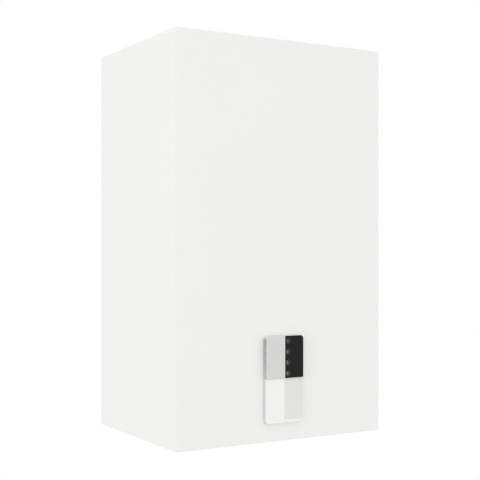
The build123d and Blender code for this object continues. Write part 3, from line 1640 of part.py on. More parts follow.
def inlay_outline(inset):
    """Outline of the grey inlay, under the keypad's half."""
    right = fascia_x + fascia_width / 2 - inlay_margin
    top = fascia_split - inlay_margin
    wide = right - fascia_x - 2 * inset
    shape = Rectangle(wide, top - inlay_bottom - 2 * inset)
    return fillet((Pos((fascia_x + right) / 2, (inlay_bottom + top) / 2) * shape).vertices(), 1.5)


def lower_cover():
    """White lower half of the fascia, with the seat for its grey inlay."""
    height = fascia_split - part_line / 2 - fascia_bottom
    outline = Pos(fascia_x, fascia_bottom + height / 2) * Rectangle(fascia_width, height)
    outline = fillet(outline.vertices().group_by(Axis.Y)[0], fascia_corner)
    body = extrude(front_plane(box_front) * outline, box_front - lower_face)
    body = fillet(body.faces().sort_by(Axis.Y)[0].edges(), 0.8)
    seat = front_plane(lower_face + inlay_thickness)
    return body - extrude(seat * inlay_outline(0.0), inlay_thickness + 1)


def lower_inlay():
    """Light grey strip let into the lower cover."""
    return extrude(front_plane(lower_face + inlay_thickness) * inlay_outline(inlay_gap), inlay_thickness)


# ------------------------------------------------------------------ all nodes
pieces = [
    front_cover,
    back_frame,
    wall_bracket,
    top_panel,
    bottom_panel,
    fasteners,
    foam_seals,
    inner_brackets,
    flue_gasket,
    flue_adaptor,
    roof_caps,
    flue_duct,
    exchanger_body,
    exchanger_coil,
    burner,
    door_gasket,
    burner_door,
    electrodes,
    fan_housing,
    fan_impeller,
    fan_motor,
    gas_air_mixer,
    intake_silencer,
    gas_valve,
    gas_coils,
    gas_pipes,
    expansion_vessel,
    expansion_pipe,
    pipe_connections,
    rubber_grommets,
    flow_block,
    diverter_motor,
    return_block,
    flow_sensor,
    filling_tap,
    safety_valve,
    relief_knob,
    plate_exchanger,
    pump_housing,
    pump_motor,
    air_vent,
    heating_pipes,
    union_nuts,
    condensate_trap,
    condensate_hose,
    gauge_case,
    gauge_glass,
    gauge_needle,
    control_box_tray,
    control_box_lid,
    circuit_board,
    upper_bezel,
    display_lens,
    keypad_plate,
    lower_cover,
    lower_inlay,
]

os.makedirs("parts", exist_ok=True)
for make in pieces:
    export_step(make(), f"parts/{make.__name__}.step")
for n in range(key_count):
    export_step(key(n), f"parts/key_{n + 1}.step")
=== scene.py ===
"""Looks of a wall-hung condensing combi boiler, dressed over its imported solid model.

Metres; +X to the right seen from the front, +Y into the wall, +Z up, origin on the wall plane.
"""

import math

import bmesh
import bpy
import numpy as np
from mathutils import Matrix, Vector


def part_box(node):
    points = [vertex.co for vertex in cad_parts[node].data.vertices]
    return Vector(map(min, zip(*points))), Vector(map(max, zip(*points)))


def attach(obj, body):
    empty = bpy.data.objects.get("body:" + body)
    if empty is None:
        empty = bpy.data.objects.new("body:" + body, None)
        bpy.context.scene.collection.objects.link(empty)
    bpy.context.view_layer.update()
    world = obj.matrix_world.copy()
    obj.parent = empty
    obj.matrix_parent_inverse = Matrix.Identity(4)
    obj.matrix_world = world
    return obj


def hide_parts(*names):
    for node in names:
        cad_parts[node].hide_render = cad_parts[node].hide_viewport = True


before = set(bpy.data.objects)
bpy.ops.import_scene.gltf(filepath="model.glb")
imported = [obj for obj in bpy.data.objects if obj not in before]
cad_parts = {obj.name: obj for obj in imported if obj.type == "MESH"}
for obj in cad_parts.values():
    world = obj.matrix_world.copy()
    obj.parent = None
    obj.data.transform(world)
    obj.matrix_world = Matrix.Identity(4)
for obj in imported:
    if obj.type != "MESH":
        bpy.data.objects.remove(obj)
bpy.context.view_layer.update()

# ---------------------------------------------------------------- front cover
# One sheet of 1 mm steel folded into front, sides and rims, then powder coated white.
# The coat is satin, with a fine orange peel; the folds are painted a shade greyer, painted shade that
# damps the highlight on their rounding.


class Signal:
    """A socket's value inside a finish: + - * and comparisons add Math nodes."""

    def __init__(self, finish, socket):
        self.finish = finish
        self.socket = socket

    def __add__(self, other):
        return self.finish.math("ADD", self, other)

    def __radd__(self, other):
        return self.finish.math("ADD", other, self)

    def __sub__(self, other):
        return self.finish.math("SUBTRACT", self, other)

    def __rsub__(self, other):
        return self.finish.math("SUBTRACT", other, self)

    def __mul__(self, other):
        return self.finish.math("MULTIPLY", self, other)

    def __rmul__(self, other):
        return self.finish.math("MULTIPLY", other, self)

    def __gt__(self, other):
        return self.finish.math("GREATER_THAN", self, other)

    def __lt__(self, other):
        return self.finish.math("LESS_THAN", self, other)


class Finish:
    """A surface finish: one Principled shader and whatever feeds it."""

    def __init__(self, name, **sockets):
        self.material = bpy.data.materials.new(name)
        self.material.use_nodes = True
        self.tree = self.material.node_tree
        self.shader = self.tree.nodes["Principled BSDF"]
        self.paint(**sockets)
        self.place = self.node("TexCoord", output="Object")

    def feed(self, node, sockets):
        """Sets each socket to a value, or links a Signal to it."""
        for key, value in sockets.items():
            socket = node.inputs[key]
            if isinstance(value, Signal):
                self.tree.links.new(value.socket, socket)
            elif isinstance(value, tuple) and socket.type == "RGBA":
                socket.default_value = (*value, 1.0)
            else:
                socket.default_value = value

    def node(self, kind, settings=None, sockets=None, output=0):
        """Adds a node: its settings first, then the values or links of its sockets."""
        made = self.tree.nodes.new("ShaderNode" + kind)
        for key, value in (settings or {}).items():
            if key == "stops":
                ramp = made.color_ramp
                while len(ramp.elements) < len(value):
                    ramp.elements.new(1.0)
                for element, (where, colour) in zip(ramp.elements, value):
                    element.position = where
                    element.color = (*colour, 1.0)
            else:
                setattr(made, key, value)
        self.feed(made, sockets or {})
        return Signal(self, made.outputs[output])

    def math(self, operation, *values):
        """A Math node, such as SQRT."""
        return self.node("Math", {"operation": operation}, dict(enumerate(values)))

    def distance(self, first, second):
        """Distance of a point from the origin of two coordinates."""
        return self.math("SQRT", first * first + second * second)

    def axis(self, name):
        """Object position along one axis."""
        return self.node("SeparateXYZ", None, {"Vector": self.place}, name)

    def along(self, direction, origin):
        """Object position measured along a unit vector from a point."""
        offset = self.node("VectorMath", {"operation": "SUBTRACT"}, {0: self.place, 1: tuple(origin)})
        return self.node("VectorMath", {"operation": "DOT_PRODUCT"}, {0: offset, 1: direction}, "Value")

    def facing(self, axis):
        """How far the surface faces along an axis, -1 to 1."""
        normal = self.node("TexCoord", output="Normal")
        return self.node("SeparateXYZ", None, {"Vector": normal}, axis)

    def stretched(self, x, y, z):
        """Object position with each axis multiplied, for a grain that runs one way."""
        return self.node("VectorMath", {"operation": "MULTIPLY"}, {0: self.place, 1: (x, y, z)})

    def noise(self, scale, detail=2.0, place=None):
        """Soft noise about 0.5; scale counts its features in a metre."""
        sockets = {"Vector": place or self.place, "Scale": scale, "Detail": detail}
        return self.node("TexNoise", None, sockets)

    def rise(self, value, start, end):
        """0 at the start and 1 at the end, held at both."""
        return self.node("MapRange", None, {"Value": value, "From Min": start, "From Max": end})

    def mix(self, amount, first, second):
        """Colour that goes from first to second as amount goes from 0 to 1."""
        return self.node("Mix", {"data_type": "RGBA"}, {0: amount, 6: first, 7: second}, 2)

    def relief(self, height, depth):
        """Bumps the surface by a height signal, over a depth in metres."""
        bump = self.node("Bump", None, {"Height": height, "Distance": depth})
        self.feed(self.shader, {"Normal": bump})

    def paint(self, **sockets):
        """Feeds the shader's own sockets."""
        self.feed(self.shader, {key.replace("_", " "): value for key, value in sockets.items()})


def tone(red, green, blue):
    """Linear colour of a screen colour given in 0-255 steps."""
    return tuple(((c / 255 + 0.055) / 1.055) ** 2.4 for c in (red, green, blue))


def dress(finish, *nodes):
    """Puts a finish on CAD nodes, in every slot they have."""
    for name in nodes:
        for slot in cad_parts[name].material_slots:
            slot.material = finish.material


powder_coat = Finish("powder_coat", IOR=1.45)
cloud = powder_coat.noise(7.0, 3.0)
# Painted shade: surfaces on the folds, facing half sideways and half forwards, are greyed to damp their
# highlight.
painted_fold_shade = powder_coat.math("ABSOLUTE", powder_coat.facing("X") * powder_coat.facing("Y")) * 2.0
coat_tone = powder_coat.mix(cloud, tone(244, 244, 242), tone(247, 247, 246))
powder_coat.paint(
    Base_Color=powder_coat.mix(painted_fold_shade, coat_tone, tone(239, 239, 238)),
    Roughness=0.44 + 0.10 * cloud,
)
powder_coat.relief(powder_coat.noise(420.0, 2.0), 0.00004)
dress(powder_coat, "front_cover")

# ---------------------------------------------------------------- frame and brackets
# Back plate, top and bottom panels, wall rail and inner brackets, folded from galvanised sheet.
# Hot-dip zinc grows flat crystals some centimetres wide, each with its own brightness.

zinc_sheet = Finish("zinc_sheet", Metallic=0.85)
crystal = zinc_sheet.node(
    "TexVoronoi", {"feature": "F1"}, {"Vector": zinc_sheet.place, "Scale": 62.0}, "Color"
)
crystal_light = zinc_sheet.node("SeparateColor", None, {"Color": crystal}, "Red")
needles = zinc_sheet.noise(900.0, 3.0, zinc_sheet.stretched(1.0, 1.0, 0.08))
zinc_light = crystal_light * 0.55 + needles * 0.45
zinc_sheet.paint(
    Base_Color=zinc_sheet.mix(zinc_light, tone(168, 172, 176), tone(208, 211, 213)),
    Roughness=0.30 + 0.22 * crystal_light,
)
zinc_sheet.relief(crystal_light * 0.5 + needles * 0.5, 0.00005)
dress(zinc_sheet, "back_frame", "wall_bracket", "top_panel", "bottom_panel", "inner_brackets")

# ---------------------------------------------------------------- screws and studs
# Cover screws, flue adaptor screws, and the studs with flanged nuts that hold the burner door.
# Cold-headed steel, bright zinc plated, with a faint passivated tint.

bright_zinc = Finish("bright_zinc", Metallic=1.0)
tint = bright_zinc.noise(160.0, 3.0)
bright_zinc.paint(
    Base_Color=bright_zinc.mix(tint, tone(188, 190, 186), tone(214, 211, 196)),
    Roughness=0.22 + 0.18 * tint,
)
bright_zinc.relief(bright_zinc.noise(2400.0), 0.00002)
dress(bright_zinc, "fasteners")

# ---------------------------------------------------------------- foam seals
# Strips of closed-cell foam on the flanges that the cover closes against,
# cut from sheet and held by their own adhesive.

cell_foam = Finish("cell_foam", Roughness=0.95)
cells = cell_foam.node(
    "TexVoronoi", {"feature": "DISTANCE_TO_EDGE"}, {"Vector": cell_foam.place, "Scale": 1400.0}
)
cell_foam.paint(Base_Color=cell_foam.mix(cells * 3.0, tone(40, 41, 43), tone(86, 88, 91)))
cell_foam.relief(cells, 0.0003)
dress(cell_foam, "foam_seals")

# ---------------------------------------------------------------- rubber gaskets and grommets
# The flue adaptor's gasket and the grommets round every pipe through the floor.
# Moulded black rubber with a dull bloom, pressed into place.

black_rubber = Finish("black_rubber")
bloom = black_rubber.noise(120.0, 4.0)
black_rubber.paint(
    Base_Color=black_rubber.mix(bloom, tone(24, 24, 26), tone(52, 52, 54)),
    Roughness=0.58 + 0.25 * bloom,
)
black_rubber.relief(black_rubber.noise(1500.0), 0.00006)
dress(black_rubber, "flue_gasket", "rubber_grommets")

# ---------------------------------------------------------------- flue
# Adaptor, blanking caps and flue duct moulded in white polypropylene, slightly waxy,
# with flow marks that run round the mouldings.

polypropylene = Finish(
    "polypropylene", IOR=1.49, Subsurface_Weight=0.08, Subsurface_Radius=(0.004, 0.004, 0.003)
)
flow_marks = polypropylene.noise(40.0, 4.0, polypropylene.stretched(1.0, 1.0, 6.0))
polypropylene.paint(
    Base_Color=polypropylene.mix(flow_marks, tone(226, 228, 226), tone(236, 237, 235)),
    Roughness=0.40 + 0.14 * flow_marks,
)
polypropylene.relief(polypropylene.noise(1100.0), 0.00003)
dress(polypropylene, "flue_adaptor", "roof_caps", "flue_duct")

# ---------------------------------------------------------------- heat exchanger and burner
# Shell, coil and burner in stainless steel: drawn shells with circular grain,
# and straw to blue heat tint next to the flange weld.

stainless = Finish("stainless", Metallic=1.0)
grain = stainless.noise(260.0, 4.0, stainless.stretched(0.15, 4.0, 0.15))
blotch = stainless.noise(22.0, 3.0)
stainless.paint(
    Base_Color=stainless.mix(grain * 0.6 + blotch * 0.4, tone(172, 172, 170), tone(212, 212, 209)),
    Roughness=0.24 + 0.20 * grain,
)
stainless.relief(grain, 0.00003)
dress(stainless, "exchanger_coil", "burner")

weld_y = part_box("exchanger_body")[0].y + 0.010
tint_width = 0.022
tint_waver = 0.006
tinted_stainless = Finish("tinted_stainless", Metallic=1.0)
shell_grain = tinted_stainless.noise(260.0, 4.0, tinted_stainless.stretched(0.15, 4.0, 0.15))
tint_depth = tinted_stainless.axis("Y") + shell_grain * tint_waver
tint_stops = (
    (0.04, tone(190, 190, 188)),
    (0.16, tone(192, 178, 152)),
    (0.32, tone(170, 144, 116)),
    (0.46, tone(134, 120, 136)),
    (0.60, tone(126, 140, 166)),
    (0.82, tone(196, 194, 184)),
    (1.0, tone(198, 198, 195)),
)
heat_tint = tinted_stainless.node(
    "ValToRGB",
    {"stops": tint_stops},
    {"Fac": tinted_stainless.rise(tint_depth, weld_y, weld_y + tint_width)},
)
tinted_stainless.paint(
    Base_Color=tinted_stainless.mix(shell_grain * 0.35, heat_tint, tone(226, 226, 222)),
    Roughness=0.22 + 0.20 * shell_grain,
)
tinted_stainless.relief(shell_grain, 0.00003)
dress(tinted_stainless, "exchanger_body")

# ---------------------------------------------------------------- burner door, fan scroll, gas valve
# Pressure die-cast aluminium, trimmed and left as it comes from the die: a satin skin
# with faint flow lines, and a coarse grain where it is unmachined.

die_cast = Finish("die_cast", Metallic=0.9)
cast_skin = die_cast.noise(700.0, 5.0)
swirl = die_cast.noise(30.0, 4.0)
die_cast.paint(
    Base_Color=die_cast.mix(cast_skin * 0.4 + swirl * 0.6, tone(160, 162, 163), tone(206, 207, 206)),
    Roughness=0.36 + 0.24 * cast_skin,
)
die_cast.relief(cast_skin * 0.7 + swirl * 0.3, 0.00012)
dress(die_cast, "burner_door", "fan_housing", "gas_valve")

# ---------------------------------------------------------------- door gasket
# Ring between the burner door and the exchanger's shell, squeezed by the door's nuts.
# Graphite pressed to shape, with a woven face.

graphite = Finish("graphite", Metallic=0.2)
flakes = graphite.noise(900.0, 4.0)
graphite.paint(
    Base_Color=graphite.mix(flakes, tone(44, 44, 46), tone(78, 78, 80)),
    Roughness=0.55 + 0.2 * flakes,
)
graphite.relief(flakes, 0.0001)
dress(graphite, "door_gasket")

# ---------------------------------------------------------------- electrodes
# Ignition pair and flame rod, fixed to the burner door by small steel plates.
# Glazed ceramic insulators, with bare metal at their tips.

electrode_low, electrode_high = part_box("electrodes")
tip_y = electrode_low.y + 0.010
plate_y = electrode_high.y - 0.0026
ceramic = Finish("ceramic", Coat_Weight=0.5, Coat_Roughness=0.05)
speck = ceramic.noise(1300.0, 2.0)
glaze = ceramic.mix(speck, tone(226, 220, 204), tone(238, 234, 222))
bare = (ceramic.axis("Y") < tip_y) + (ceramic.axis("Y") > plate_y)
ceramic.paint(
    Base_Color=ceramic.mix(bare, glaze, tone(190, 190, 188)),
    Metallic=bare,
    Roughness=0.16 + 0.12 * speck + 0.14 * bare,
)
dress(ceramic, "electrodes")

# ---------------------------------------------------------------- black mouldings
# Fan motor cap, impeller, mixer, gas coils, diverter motor, flow sensor and gauge case:
# glass-filled polyamide with a spark-eroded texture.

black_moulding = Finish("black_moulding", IOR=1.46)
erosion = black_moulding.noise(1700.0, 3.0)
fibre = black_moulding.noise(260.0, 4.0)
black_moulding.paint(
    Base_Color=black_moulding.mix(fibre, tone(26, 26, 28), tone(46, 46, 48)),
    Roughness=0.42 + 0.20 * erosion,
)
black_moulding.relief(erosion, 0.00008)
dress(black_moulding, "fan_impeller", "fan_motor", "gas_air_mixer", "gas_coils")
dress(black_moulding, "diverter_motor", "flow_sensor", "gauge_case")

# ---------------------------------------------------------------- grey mouldings
# Silencer, trap, hydraulic blocks and pump volute in grey glass-filled plastic,
# with pale fibre streaks at the surface.

grey_moulding = Finish("grey_moulding", IOR=1.48)
streak = grey_moulding.noise(240.0, 5.0, grey_moulding.stretched(1.0, 1.0, 0.3))
grey_moulding.paint(
    Base_Color=grey_moulding.mix(streak, tone(92, 96, 100), tone(134, 138, 141)),
    Roughness=0.45 + 0.18 * streak,
)
grey_moulding.relief(streak * 0.5 + grey_moulding.noise(1500.0) * 0.5, 0.00008)
dress(grey_moulding, "intake_silencer", "condensate_trap", "pump_housing", "flow_block", "return_block")

# ---------------------------------------------------------------- copper pipes
# Drawn copper tube, cut to length, bent cold and lightly tarnished:
# salmon where it is bright, brown in patches.

copper = Finish("copper", Metallic=1.0)
tarnish = copper.noise(34.0, 5.0)
drawing = copper.noise(420.0, 2.0, copper.stretched(1.0, 1.0, 0.06))
copper.paint(
    Base_Color=copper.mix(tarnish * 1.5 - 0.3, tone(222, 150, 112), tone(160, 92, 62)),
    Roughness=0.22 + 0.22 * tarnish + 0.06 * drawing,
)
copper.relief(drawing, 0.00003)
dress(copper, "gas_pipes", "heating_pipes", "expansion_pipe")

# ---------------------------------------------------------------- expansion vessel
# Sealed round vessel that takes up the swelling of the heated water.
# Two pressed steel halves joined by a rolled seam, stove enamelled red.

red_enamel = Finish("red_enamel", Coat_Weight=0.3, Coat_Roughness=0.15)
red_cloud = red_enamel.noise(16.0, 3.0)
red_enamel.paint(
    Base_Color=red_enamel.mix(red_cloud, tone(158, 28, 22), tone(186, 38, 30)),
    Roughness=0.28 + 0.14 * red_cloud,
)
red_enamel.relief(red_enamel.noise(380.0), 0.00005)
dress(red_enamel, "expansion_vessel")

# ---------------------------------------------------------------- brass fittings
# Union nuts, safety valve and air vent, turned and hot pressed in brass:
# fine turning marks across the axis, and a warm dull patina.

brass = Finish("brass", Metallic=1.0)
turning = brass.noise(1900.0, 1.0, brass.stretched(0.05, 0.05, 1.0))
patina = brass.noise(55.0, 4.0)
brass.paint(
    Base_Color=brass.mix(patina, tone(214, 184, 118), tone(176, 142, 84)),
    Roughness=0.20 + 0.16 * patina + 0.10 * turning,
)
brass.relief(turning, 0.00003)
dress(brass, "union_nuts", "safety_valve", "air_vent")

# ---------------------------------------------------------------- pipe connections
# Five brass fittings held from below: parallel pipe thread of 14 turns an inch, a chamfered
# spanner hexagon, and a plain neck up into the hydraulic blocks.


def turned(profile, centre, direction, columns):
    """Grid of a profile carried round a line: centre + along * direction + radius * (cos t * side
    + sin t * up). The profile is rows of (radius, along); a radius may be given for every column."""
    along = np.array([row[1] for row in profile], float)
    radius = np.stack([np.broadcast_to(row[0], columns) for row in profile])
    direction = np.asarray(direction, float) / np.linalg.norm(direction)
    side = np.cross(direction, (0.0, 0.0, 1.0) if abs(direction[2]) < 0.9 else (1.0, 0.0, 0.0))
    side /= np.linalg.norm(side)
    up = np.cross(direction, side)
    t = np.linspace(0.0, 2 * np.pi, columns, endpoint=False)
    circle = np.cos(t)[:, None] * side + np.sin(t)[:, None] * up
    return np.asarray(centre, float) + along[:, None, None] * direction + radius[..., None] * circle


def skin(name, grids, finish, body="frame"):
    """One mesh over several grids of points (row, column, xyz). Columns close round, and the last row
    meets the first. Doubles are merged, faces turned outwards, edges over 35 degrees kept sharp."""
    points, faces, start = [], [], 0
    for grid in grids:
        rows, columns = grid.shape[:2]
        index = start + np.arange(rows * columns).reshape(rows, columns)
        index = np.hstack([index, index[:, :1]])
        index = np.vstack([index, index[:1]])
        around = (index[:-1, :-1], index[:-1, 1:], index[1:, 1:], index[1:, :-1])
        faces.append(np.stack(around, -1).reshape(-1, 4))
        points.append(grid.reshape(-1, 3))
        start += rows * columns
    mesh = bpy.data.meshes.new(name)
    mesh.from_pydata(np.vstack(points), [], np.vstack(faces).tolist())
    shape = bmesh.new()
    shape.from_mesh(mesh)
    bmesh.ops.remove_doubles(shape, verts=shape.verts, dist=1e-6)
    loose = [edge for edge in shape.edges if not edge.link_faces]
    bmesh.ops.delete(shape, geom=loose, context="EDGES")
    bmesh.ops.recalc_face_normals(shape, faces=shape.faces)
    shape.to_mesh(mesh)
    shape.free()
    mesh.shade_smooth()
    mesh.set_sharp_from_angle(angle=math.radians(35))
    mesh.materials.append(finish.material)
    piece = bpy.data.objects.new(name, mesh)
    bpy.context.scene.collection.objects.link(piece)
    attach(piece, body)
    return piece


def hexagon(across, columns):
    """Radius of a hexagon round its centre: half its width across flats over the cosine of the angle
    from the middle of the nearest flat."""
    t = np.linspace(0.0, 2 * np.pi, columns, endpoint=False)
    return across / 2 / np.cos(t % (np.pi / 3) - np.pi / 6)


def thread_rows(crest, low, high, columns, pitch=0.001814, depth=0.00116):
    """Rows of a screw thread: the radius falls from the crest by a rounded saw of height less turn."""
    turn = np.linspace(0.0, 1.0, columns, endpoint=False)
    rows = []
    for z in np.arange(low, high, pitch / 8):
        phase = np.abs(2 * ((z / pitch - turn) % 1.0) - 1.0)
        fade = min(1.0, (z - low) / (0.6 * pitch), (high - z) / pitch)
        tooth = np.clip(1.25 * phase - 0.125, 0.0, 1.0)
        rows.append((crest - depth + depth * tooth * max(fade, 0.0), z))
    return rows


connection_y = -0.135
connection_pitch = 0.065
big_fitting = (0.01322, 0.012)  # radius of the thread's crest, radius of the neck
small_fitting = (0.01048, 0.0095)
fitting_wall = 0.003
fitting_end = -0.022
fitting_top = 0.038
thread_core = 0.0013  # below the crest
thread_runout = 0.0002
hex_bottom = -0.007
hex_top = 0.0
hex_margin = 0.0035  # across its flats, over the thread
chamfer_depth = 0.0014
chamfer_height = 0.0008
fitting_columns = 72
fitting_grids = []
for place, (crest, neck) in enumerate([big_fitting, small_fitting] * 2 + [big_fitting]):
    flats = hexagon(2 * crest + hex_margin, fitting_columns)
    chamfered = np.minimum(flats, flats.max() - chamfer_depth)
    rows = [
        (neck - fitting_wall, fitting_top),
        (neck - fitting_wall, fitting_end),
        (crest - thread_core, fitting_end),
    ]
    rows += thread_rows(crest, fitting_end + thread_runout, hex_bottom - thread_runout, fitting_columns)
    rows += [
        (crest - thread_core, hex_bottom),
        (chamfered, hex_bottom),
        (flats, hex_bottom + chamfer_height),
        (flats, hex_top - chamfer_height),
        (chamfered, hex_top),
        (neck, hex_top),
        (neck, fitting_top),
    ]
    centre = ((place - 2) * connection_pitch, connection_y, 0.0)
    fitting_grids.append(turned(rows, centre, (0, 0, 1), fitting_columns))
connections = skin("connections", fitting_grids, brass)
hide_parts("pipe_connections")

# ---------------------------------------------------------------- pump motor
# Motor of the heating pump, screwed to the volute by its flange.
# Cast with cooling fins and stoved in dark enamel.

dark_enamel = Finish("dark_enamel", Coat_Weight=0.2)
dark_cloud = dark_enamel.noise(90.0, 4.0)
dark_enamel.paint(
    Base_Color=dark_enamel.mix(dark_cloud, tone(52, 56, 62), tone(74, 78, 84)),
    Roughness=0.34 + 0.16 * dark_cloud,
)
dark_enamel.relief(dark_enamel.noise(600.0, 3.0), 0.0001)
dress(dark_enamel, "pump_motor")

# ---------------------------------------------------------------- plate exchanger
# Warms the tap water from the heating water. Stacked stainless plates brazed with copper,
# which shows as a warm line between their edges.

plate_pitch = 0.0025
plate_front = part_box("plate_exchanger")[0].y
brazed = Finish("brazed", Metallic=1.0)
within_plate = brazed.math("FRACT", (brazed.axis("Y") - plate_front) * (1 / plate_pitch))
braze_line = within_plate > 0.78
plate_cloud = brazed.noise(45.0, 4.0)
plate_tone = brazed.mix(plate_cloud, tone(164, 160, 152), tone(204, 202, 197))
brazed.paint(
    Base_Color=brazed.mix(braze_line, plate_tone, tone(176, 132, 104)),
    Roughness=0.26 + 0.16 * plate_cloud,
)
brazed.relief(plate_cloud, 0.0001)
dress(brazed, "plate_exchanger")

# ---------------------------------------------------------------- knobs
# Relief knob in red, filling tap in blue: glossy moulded caps with worn grips. A pale line printed
# from the middle of each end towards its rim shows how far the knob is turned.

line_half_width = 0.0007
line_start = 0.0012  # from the knob's middle
line_end = 0.0062
line_depth = 0.0004  # how far back from the end face the print reaches
for knob_name, knob_node, fresh, worn, end, aside, outward in (
    ("relief_red", "relief_knob", tone(178, 24, 20), tone(202, 60, 50), (1, 0, 0), (0, 1, 0), (0, 0, 1)),
    ("tap_blue", "filling_tap", tone(24, 66, 128), tone(58, 98, 154), (0, 0, -1), (1, 0, 0), (0, -1, 0)),
):
    knob = Finish(knob_name, Coat_Weight=0.25)
    knob_low, knob_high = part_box(knob_node)
    knob_middle = (knob_low + knob_high) / 2
    end_face = abs((knob_high - knob_middle).dot(end))
    handling = knob.noise(210.0, 4.0)
    line_place = knob.along(outward, knob_middle)
    printed = knob.along(end, knob_middle) > end_face - line_depth
    printed = printed * (knob.math("ABSOLUTE", knob.along(aside, knob_middle)) < line_half_width)
    printed = printed * (line_place > line_start) * (line_place < line_end)
    knob.paint(
        Base_Color=knob.mix(printed, knob.mix(handling, fresh, worn), tone(236, 234, 228)),
        Roughness=0.26 + 0.24 * handling,
    )
    knob.relief(knob.noise(1300.0), 0.00004)
    dress(knob, knob_node)

# ---------------------------------------------------------------- condensate hose
# Leads the condensate from the exchanger down to the trap, pushed on at both ends.
# Pale grey thermoplastic, satin, with a faint spiral from its extrusion.

hose_grey = Finish("hose_grey", IOR=1.48)
spiral = hose_grey.noise(300.0, 2.0, hose_grey.stretched(0.2, 0.2, 2.0))
hose_grey.paint(
    Base_Color=hose_grey.mix(spiral, tone(168, 170, 172), tone(192, 194, 195)),
    Roughness=0.40 + 0.15 * spiral,
)
hose_grey.relief(spiral, 0.0001)
dress(hose_grey, "condensate_hose")

# ---------------------------------------------------------------- pressure gauge
# A clear pressed glass disc over the dial, with a ground rim that clears its seat,
# and a pointer painted red.

gauge_clear = Finish("gauge_clear", Base_Color=(0.96, 0.98, 0.98), IOR=1.5, Transmission_Weight=1.0)
gauge_clear.paint(Roughness=0.03 + 0.05 * gauge_clear.noise(90.0, 3.0))
glass_low, glass_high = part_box("gauge_glass")
gauge_centre = np.array(((glass_low + glass_high) / 2).xy)
glass_radius = 0.01740
glass_bevel = 0.0002
glass_rows = [
    (0.0, glass_low.z),
    (glass_radius - glass_bevel, glass_low.z),
    (glass_radius, glass_low.z + glass_bevel),
    (glass_radius, glass_high.z - glass_bevel),
    (glass_radius - glass_bevel, glass_high.z),
    (0.0, glass_high.z),
]
glass_grid = turned(glass_rows, (*gauge_centre, 0.0), (0, 0, 1), 120)
clear_disc = skin("gauge_clear_disc", [glass_grid], gauge_clear)
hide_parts("gauge_glass")

pointer_red = Finish("pointer_red")
pointer_cloud = pointer_red.noise(800.0, 2.0)
pointer_red.paint(
    Base_Color=pointer_red.mix(pointer_cloud, tone(176, 30, 22), tone(196, 44, 34)),
    Roughness=0.42 + 0.1 * pointer_cloud,
)
dress(pointer_red, "gauge_needle")

# ---------------------------------------------------------------- gauge dial
# A white printed disc that faces down, with black divisions over three quarters of a turn
# and the numbers 0 to 4 inside them, read from below with the room at the top.

dial_level = 0.0049
dial_radius = 0.01748
dial_thickness = 0.0001
good_inner = 0.0136  # radii of the green band that marks a good pressure
good_outer = 0.0152
good_end = -0.006
dial_white = Finish("dial_white")
dial_x = dial_white.axis("X") - gauge_centre[0]
dial_y = dial_white.axis("Y") - gauge_centre[1]
dial_reach = dial_white.distance(dial_x, dial_y)
good = (dial_reach > good_inner) * (dial_reach < good_outer) * (dial_x < 0.0) * (dial_y < good_end)
dial_paper = dial_white.mix(dial_white.noise(500.0), tone(236, 236, 232), tone(242, 242, 239))
dial_white.paint(
    Base_Color=dial_white.mix(good, dial_paper, tone(60, 140, 70)),
    Roughness=0.45 + 0.1 * dial_white.noise(900.0),
)
dial_rows = [
    (0.0, dial_level + dial_thickness),
    (dial_radius, dial_level + dial_thickness),
    (dial_radius, dial_level),
    (0.0, dial_level),
]
skin("gauge_dial", [turned(dial_rows, (*gauge_centre, 0.0), (0, 0, 1), 120)], dial_white)

dial_black = Finish("dial_black")
dial_black.paint(
    Base_Color=dial_black.mix(dial_black.noise(900.0), tone(18, 18, 18), tone(32, 32, 32)),
    Roughness=0.5 + 0.1 * dial_black.noise(700.0),
)


def bar(centre, along, half_length, half_width, low, high):
    """Grid of a straight flat bar: its corners are centre + a * half_length * along + b * half_width
    * across for a and b of -1 and 1, at its lower and its upper level, closed at its centre."""
    along = np.asarray(along, float)
    across = np.array((-along[1], along[0]))
    signs = ((-1, -1), (1, -1), (1, 1), (-1, 1))
    ring = np.array([centre + a * half_length * along + b * half_width * across for a, b in signs])
    hub = np.broadcast_to(centre, ring.shape)
    levels = ((hub, low), (ring, low), (ring, high), (hub, high))
    return np.stack([np.column_stack([row, np.full(4, z)]) for row, z in levels])


def dial_ray(share):
    """Unit vector from the gauge's centre to a share of its scale: cos and sin of 135 + 270 * share."""
    angle = math.radians(135 + 270 * share)
    return np.array((math.cos(angle), math.sin(angle)))


divisions = 40
division_rim = 0.0148
long_mark = (0.0016, 0.00022)  # half its length, half its width
short_mark = (0.0008, 0.00012)
print_thickness = 0.0001
marks = []
for step in range(divisions + 1):
    ray = dial_ray(step / divisions)
    half_length, half_width = long_mark if step % 10 == 0 else short_mark
    spot = gauge_centre + ray * (division_rim - half_length)
    marks.append(bar(spot, ray, half_length, half_width, dial_level - print_thickness, dial_level))
skin("gauge_divisions", marks, dial_black)

number_circle = 0.0092
number_level = dial_level - 0.00006
for number in range(5):
    digit = bpy.data.curves.new(f"dial_number_{number}", "FONT")
    digit.body = str(number)
    digit.size = 0.0052
    digit.align_x = "CENTER"
    digit.align_y = "CENTER"
    digit.extrude = 0.00004
    text = bpy.data.objects.new(f"dial_text_{number}", digit)
    bpy.context.scene.collection.objects.link(text)
    bpy.context.view_layer.update()
    mesh = bpy.data.meshes.new_from_object(text.evaluated_get(bpy.context.evaluated_depsgraph_get()))
    bpy.data.objects.remove(text)
    spot = gauge_centre + number_circle * dial_ray(number / 4)
    mesh.transform(Matrix.Translation((*spot, number_level)) @ Matrix.Rotation(math.pi, 4, "X"))
    mesh.materials.clear()
    mesh.materials.append(dial_black.material)
    figure = bpy.data.objects.new(f"dial_number_{number}", mesh)
    bpy.context.scene.collection.objects.link(figure)
    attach(figure, "frame")

# ---------------------------------------------------------------- control box
# Tray and lid that close round the circuit board, and carry the fascia and the keys.
# Light grey fire-retardant plastic with a fine spark-eroded grain.

